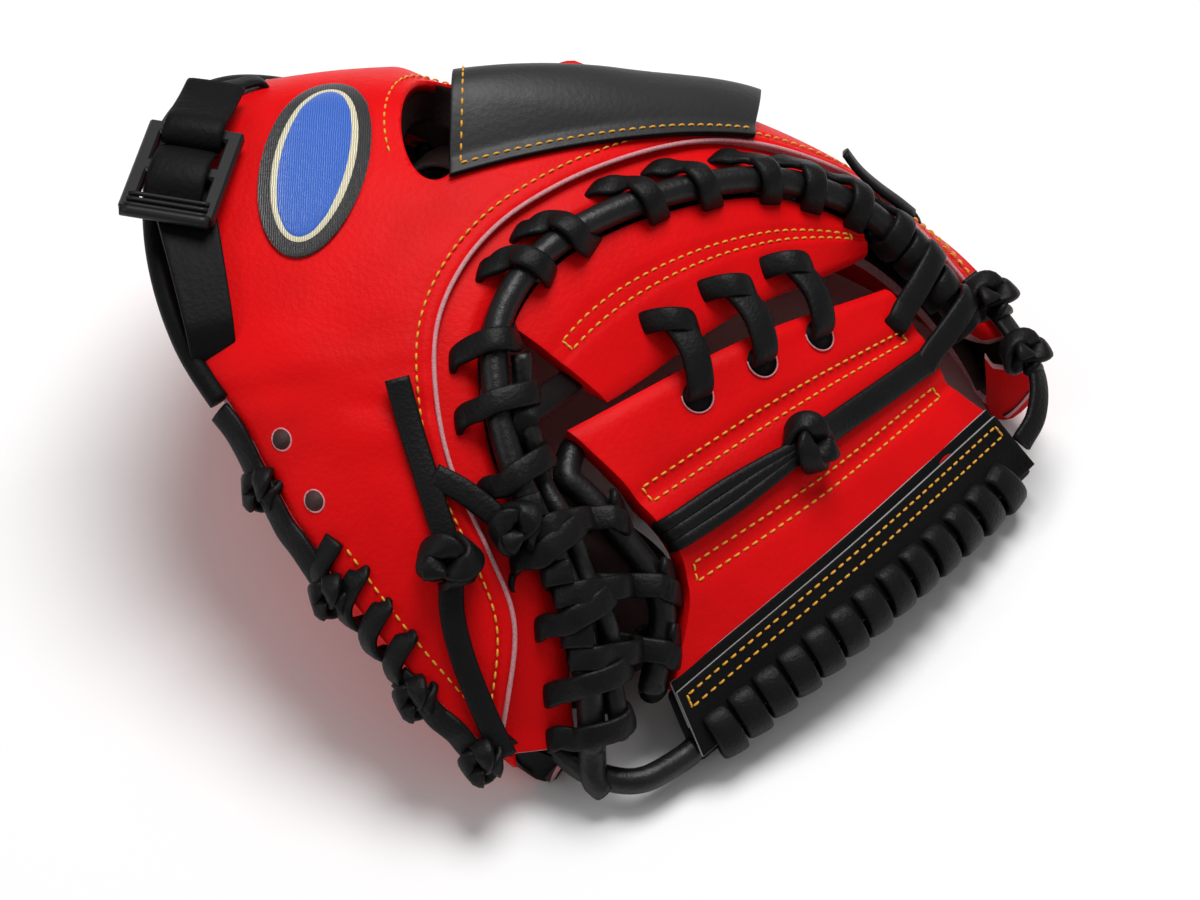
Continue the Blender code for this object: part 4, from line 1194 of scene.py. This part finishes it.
def strap_spot(length, across, height):
    ahead = Vector((math.cos(STRAP_TURN), math.sin(STRAP_TURN), 0))
    aside = Vector((-math.sin(STRAP_TURN), math.cos(STRAP_TURN), 0))
    angle, radius = length / STRAP_ROUND, STRAP_ROUND + height
    rise = UP * (radius * math.cos(angle) - STRAP_ROUND)
    return STRAP_TOP + ahead * (radius * math.sin(angle)) + aside * across + rise


def on_buckle(along, across, height):
    return BUCKLE_MIDDLE + BUCKLE_TURN @ Vector((along, across, height))


def buckle_ways(ways):
    return [BUCKLE_TURN @ Vector((along, 0, rise)) for along, rise in ways]


def make_strap():
    def strap_face(u, v):
        dive = 7.0 * max(0.0, (u - 0.8) / 0.2) ** 2
        return strap_spot(mix(u, -2, 52), mix(v, -9, mix(u, 8, 3)), 1.2 - dive)

    strap = panel("strap_leather", strap_face, 60, 10, 2.4, (BLACK_LEATHER,) * 3, 0.5)
    ride(strap, "strap", "wrist_strap", slot="black_leather")


def make_buckle():
    buckle = frame["nodes"]["buckle"]
    buckle.data.materials.clear()
    buckle.data.materials.append(PLASTIC)
    round_edges(buckle, 0.5, 30)

    # Grips on the front bar of the buckle, and its lifting lip
    parts = []
    for along in (11.5, 13.5, 15.5):
        parts.append(cord([on_buckle(along, across, 2.2) for across in (-11, -4, 4, 11)], 1.3, 2.0, 8))
    parts.append(cord([on_buckle(16.5, across, 0.8) for across in (-12, -4, 4, 12)], 3.4, 2.0, 10))
    ride(gather("buckle_grips", parts, PLASTIC), "buckle")

    # The leather folded over its middle bar
    path = ((14.0, -3.0), (9.5, -0.8), (5.5, 2.6), (0.0, 3.6), (-5.0, 2.4), (-9.0, -1.4))
    ups = buckle_ways(((0.6, 1), (0.6, 0.8), (0.4, 1), (0, 1), (-0.4, 1), (-0.6, 0.8)))
    fold_over = strip([on_buckle(x, 0, z) for x, z in path], ups, 16.0, 2.0)
    ride(gather("buckle_leather", [fold_over], BLACK_LEATHER), "buckle")

    far_end, ups = laid([(-50.5, -107.5), (-51.5, -105), (-54, -99), (-56, -93.5), (-56.7, -91.5)], 0.9)
    far_end[0] -= ups[0] * 3
    far_end[-1] -= ups[-1] * 3
    ride(gather("strap_far_end", [strip(far_end, ups, 9.0, 1.8)], BLACK_LEATHER), "finger_half")

    # The tab that holds the buckle: round its back bar, then down onto the back
    path = ((-13.0, -2.2), (-10.0, -0.6), (-9.6, 1.2), (-11.4, 3.6), (-15.0, 4.2), (-20.0, 2.6),
            (-27.0, 0.4), (-34.0, -1.0))
    ups = buckle_ways(((0.6, -1), (1, -0.2), (1, 0.3), (0.6, 1), (0, 1), (-0.2, 1), (0.1, 1), (0.1, 1)))
    points = [on_buckle(x, 0, z) for x, z in path]
    for point in points:
        point.z = max(point.z, on_back(point.x, point.y, 2.6).z)
    tab = gather("buckle_tab_leather", [strip(points, ups, 16.5, 2.2)], BLACK_LEATHER)
    ride(tab, "finger_half", "buckle_tab", slot="black_leather")


PATCH_MIDDLE = Vector((-20, -76))
PATCH_TURN = Matrix.Rotation(math.radians(-8), 2)


def patch_layer(name, long, wide, high, look, *nodes):
    """An oval layer of the patch, with rounded edges."""
    def face(u, v):
        x, y = 2 * u - 1, 2 * v - 1
        flat = Vector((x * math.sqrt(1 - y * y / 2) * long / 2, y * math.sqrt(1 - x * x / 2) * wide / 2))
        rise = high * (1 - 0.35 * max(x * x, y * y) ** 3)
        return on_back(*(PATCH_MIDDLE + PATCH_TURN @ flat), 0.2 + rise)

    layer = panel(name, face, 40, 24, high + 0.1, (look,) * 3, 0.3)
    ride(layer, "finger_half", *nodes, slot="patch_cloth")


def make_patch():
    patch_layer("patch_border", 60, 29, 1.1, satin("black_embroidery", (0.012, 0.012, 0.014)), "emblem_patch")
    patch_layer("patch_edge", 52, 22, 1.7, satin("cream_embroidery", (0.78, 0.72, 0.5)))
    patch_layer("patch_middle", 49, 19, 2.1, satin("blue_embroidery", (0.03, 0.14, 0.62)))


# Rim

def outward(s):
    """Level, square to the rim, away from the mitt."""
    after, before = station(min(s + 0.05, LAST))[2:4], station(max(s - 0.05, 0))[2:4]
    way = Vector((before[1] - after[1], after[0] - before[0], 0)).normalized()
    cx, cy, rx, ry = station(s)[:4]
    return way if way.dot(Vector((rx - cx, ry - cy, 0))) > 0 else -way


def rim_spot(s, out, z):
    return Vector((*station(s)[2:4], z)) + outward(s) * out


def make_wrist():
    points = [rim_spot(s, 1.4, rim_height(s) - 1.2) for s in np.linspace(5.4, 10.1, 40)]
    piping = gather("wrist_piping", [cord(points, 6.0)], BLACK_LEATHER)
    ride(piping, "finger_half", "wrist_binding", slot="black_leather")

    # The row of sewing round the wrist stops on each side of the strap
    strap_line = [strap_spot(along, 0, 0) for along in np.linspace(-2, 54, 29)]
    clear = 13
    runs = [[]]
    for spot, up in zip(*rim_row(6.5, 5.6, 10.0, 90)):
        if min((spot - other).length for other in strap_line) > clear:
            runs[-1].append((spot, up))
        elif runs[-1]:
            runs.append([])
    rows = [tuple(zip(*run)) for run in runs if len(run) > 3]
    ride(sewing("wrist_stitches", rows), "finger_half")


def wound(first, last, turns):
    """A lace wound along the edge: on the shell, out over the rim, and back inside."""
    path, ups = [], []
    for turn in range(turns):
        for kind, share in enumerate((0.0, 0.3, 0.62, 0.85)):
            s = mix((turn + share) / turns, first, last)
            out, high = outward(s), rim_height(s)
            spots = ((back(s, 1 - 4.5 / reach(s)) + UP * 1.3, out * 0.5 + UP),
                     (rim_spot(s, 2.4, high - 0.5), out + UP * 0.5),
                     (rim_spot(s, 2.4, high - 5.0), out - UP * 0.3),
                     (rim_spot(s, -6.0, high - 8.0), -out))
            path.append(spots[kind][0])
            ups.append(spots[kind][1])
    return strip(path, ups, 6.2, 2.3)


def along_edge(first, last):
    """A lace that lies along the rim."""
    shares = np.linspace(first, last, 10)
    path = [rim_spot(s, 2.6, rim_height(s) - 2.0 + 0.8 * math.sin(9 * s)) for s in shares]
    return strip(path, [outward(s) + UP * 0.7 for s in shares], 7.0, 2.2)


def make_rim_laces():
    thumb = lace("rim_thong_thumb", along_edge(5.35, 3.3), along_edge(1.9, 0.3), wound(3.5, 1.7, 4))
    bend(thumb, "rim_lace_thumb", slot="black_leather")
    bend(lace("rim_thong_finger", wound(10.6, 14.9, 9)), "rim_lace_finger", slot="black_leather")
    tied = []
    for s in (4.45, 3.1, 1.55, 0.25):
        ahead = rim_spot(s, 0, 0) - rim_spot(s + 0.1, 0, 0)
        centre = rim_spot(s, 3.6, rim_height(s) - 2.0)
        tied.append(knot(centre, ahead, outward(s) + UP * 0.6, 5.4, 5.4, 2.3))
    bend(lace("rim_knots", *tied))

    holes, edges = [], []
    for s in (4.75, 4.0):
        t = 1 - 6 / reach(s)
        spot, up = back(s, t), back_up(s, t)
        ahead = (back(s + 0.1, t) - back(s, t)).normalized()
        side = up.cross(ahead)
        holes.append(cord([spot - up, spot + up * 0.1, spot + up * 0.3], 5.0, 0.4, 14))
        round_about = np.linspace(0, 6.2, 20)
        ring = [spot + (ahead * math.cos(a) * 3.0 + side * math.sin(a) * 2.6) for a in round_about]
        edges.append(cord(ring, 0.5, 0.8, 8))
    bend(gather("lace_holes", holes, LINING))
    bend(gather("lace_hole_edges", edges, RAW_RED))


def make_gusset(name, first, last):
    """The thin leather between the rim of the back and the rim of the front."""
    def face(u, v):
        s = mix(u, first, last)
        top = back(s, 1.0) - outward(s) * 1.2 - UP * 1.5
        return top.lerp(front(s, 1.0) - outward(s) * 0.8, v)

    bend(panel(name, face, 60, 6, 1.4, (RED_LEATHER,) * 3, 0), slot="red_leather")


# Inside: pads, lining and finger loops

def clear_of(face, s, t):
    return (LEATHER + 0.7) / max(0.35, abs(normal(face, s, t, LAST).z))


def fill(s, t, low, high):
    """The space inside at a place: from low over the front leather to high, under the back."""
    spot = palm(s, t)
    base = spot.z + clear_of(palm, s, t)
    top = min(base + high, back(s, t).z - clear_of(back, s, t))
    return Vector((spot.x, spot.y, base + low)), Vector((spot.x, spot.y, top))


def stuffed(name, first, last, inner, outer, low, high, look):
    """A pad between two heights over the front leather, thinner towards its edges."""
    columns, rows = 30, 14
    tops, floors = [], []
    for i in range(columns + 1):
        s = mix(i / columns, first, last)
        foot = front_foot(s)
        for j in range(rows + 1):
            bottom, top = fill(s, mix(j / rows, inner, outer * foot), low, high)
            from_end, from_side = min(i, columns - i) / columns, min(j, rows - j) / rows
            soft = min(1.0, 5 * from_end + 0.25) * min(1.0, 4 * from_side + 0.25)
            floors.append(bottom)
            tops.append(bottom.lerp(top, soft))
    faces = slab_faces(columns, rows)[0]
    return add(name, mesh_from(name, tops + floors, faces), look)


def make_inside():
    pads = (("thumb_stuffing", 1.5, 4.45, 0.42, 0.97, 10, "thumb_half", "thumb_pad"),
            ("thumb_heel_stuffing", 5.6, 7.1, 0.35, 0.97, 14, "finger_half", "thumb_heel_pad"),
            ("little_finger_stuffing", 7.2, 10.2, 0.35, 0.97, 14, "finger_half", "little_finger_heel_pad"),
            ("finger_stuffing", 10.3, 13.8, 0.4, 0.84, 12, "finger_half", "finger_pad"))
    for name, first, last, inner, outer, thick, body, node in pads:
        pad = stuffed(name, first, last, inner, outer, 0, thick, FELT)
        ride(pad, body, node, slot="felt_padding")
    lining = stuffed("hand_lining", 6.4, 10.1, 0.35, 0.8, 14.35, 16.35, LINING)
    ride(lining, "finger_half", "palm_lining", slot="lining_leather")

    def wrist_face(u, v):
        s, t = mix(u, 6.5, 8.6), mix(v, 0.8, 0.97)
        return back(s, t) - back_up(s, t) * (LEATHER + 1.4)

    wrist = panel("wrist_stuffing", wrist_face, 30, 10, 4.0, (FELT,) * 3, 1.5)
    ride(wrist, "finger_half", "wrist_pad", slot="felt_padding")

    loops = (("thumb_band", 3.0, 10.9, "thumb_half", "thumb_loop"),
             ("little_finger_band", 9.8, 16.35, "finger_half", "little_finger_loop"))
    for name, s, depth, body, node in loops:
        points = []
        for share in np.linspace(0, 1, 9):
            arch = math.sin(math.pi * share) * 4
            points.append(fill(s, mix(share, 0.5, 0.66), depth + 3.7 + arch, 60)[0])
        band = gather(name, [strip(points, [UP] * 9, 9.0, 2.0)], LINING)
        ride(band, body, node, slot="lining_leather")


# Camera, light and floor

FLOOR_HALF = 3.0        # metres, as are the lamps' places
FLOOR_Z = -0.0006
LAMPS = (("key", (-0.5, 0.15, 1.45), 21), ("left", (0.4, -1.2, 1.1), 3.5), ("right", (0.8, 1.1, 0.9), 1))
LAMP_WIDE = 0.9
LAMP_AIM = Vector((0, 0, 0.05))
SKY_LIGHT, SKY_SEEN = 0.28, 1.0
CAMERA_RISE = math.radians(50)
CAMERA_AWAY = 1100
CAMERA_TARGET = Vector((0, 0, 45))
CAMERA_DROP = 28.2      # how far below the target the middle of the picture is
CAMERA_LENS = 120.4


def look_at(obj, spot, aim):
    obj.location = spot
    obj.rotation_euler = (aim - spot).to_track_quat("-Z", "Y").to_euler()


def make_sky():
    world = bpy.data.worlds.new("studio")
    bpy.context.scene.world = world
    world.use_nodes = True
    tree = world.node_tree
    sky = tree.nodes["Background"]
    sky.inputs["Color"].default_value = (1, 1, 1, 1)
    ray = tree.nodes.new("ShaderNodeLightPath")
    strength = tree.nodes.new("ShaderNodeMapRange")
    strength.inputs["To Min"].default_value = SKY_LIGHT
    strength.inputs["To Max"].default_value = SKY_SEEN
    tree.links.new(ray.outputs["Is Camera Ray"], strength.inputs["Value"])
    tree.links.new(strength.outputs["Result"], sky.inputs["Strength"])


def make_stage():
    make_sky()
    bm = bmesh.new()
    bmesh.ops.create_grid(bm, x_segments=1, y_segments=1, size=FLOOR_HALF)
    mesh = bpy.data.meshes.new("floor")
    bm.to_mesh(mesh)
    bm.free()
    floor = add("floor", mesh, Shader("white_floor", (0.93, 0.93, 0.93), 0.9).material)
    floor.location.z = FLOOR_Z

    for name, spot, power in LAMPS:
        light = bpy.data.lights.new(name, "AREA")
        light.shape = "DISK"
        light.size = LAMP_WIDE
        light.energy = power
        look_at(add(name, light), Vector(spot), LAMP_AIM)

    # The photograph looks down at the mitt from the thumb side.
    toward = Vector((math.cos(CAMERA_RISE), 0, math.sin(CAMERA_RISE)))
    up = Vector((-math.sin(CAMERA_RISE), 0, math.cos(CAMERA_RISE)))
    camera = bpy.data.cameras.new("camera")
    camera.lens = CAMERA_LENS
    made = add("camera", camera)
    look_at(made, place(CAMERA_TARGET + toward * CAMERA_AWAY), place(CAMERA_TARGET - up * CAMERA_DROP))
    bpy.context.scene.camera = made
    bpy.context.scene.view_settings.view_transform = "Standard"


make_stage()
make_back()
make_front()
make_crotch()
make_web()
make_edge_lace()
make_cross_laces()
make_centre_lace()
make_thumb_ties()
make_finger_ties()
make_tip_cord()
make_ties()
make_tips()
make_stall()
make_hole_edge()
make_strap()
make_buckle()
make_patch()
make_wrist()
make_rim_laces()
make_gusset("thumb_gusset", 0.1, 5.6)
make_gusset("finger_gusset", 10.0, 16.9)
make_inside()
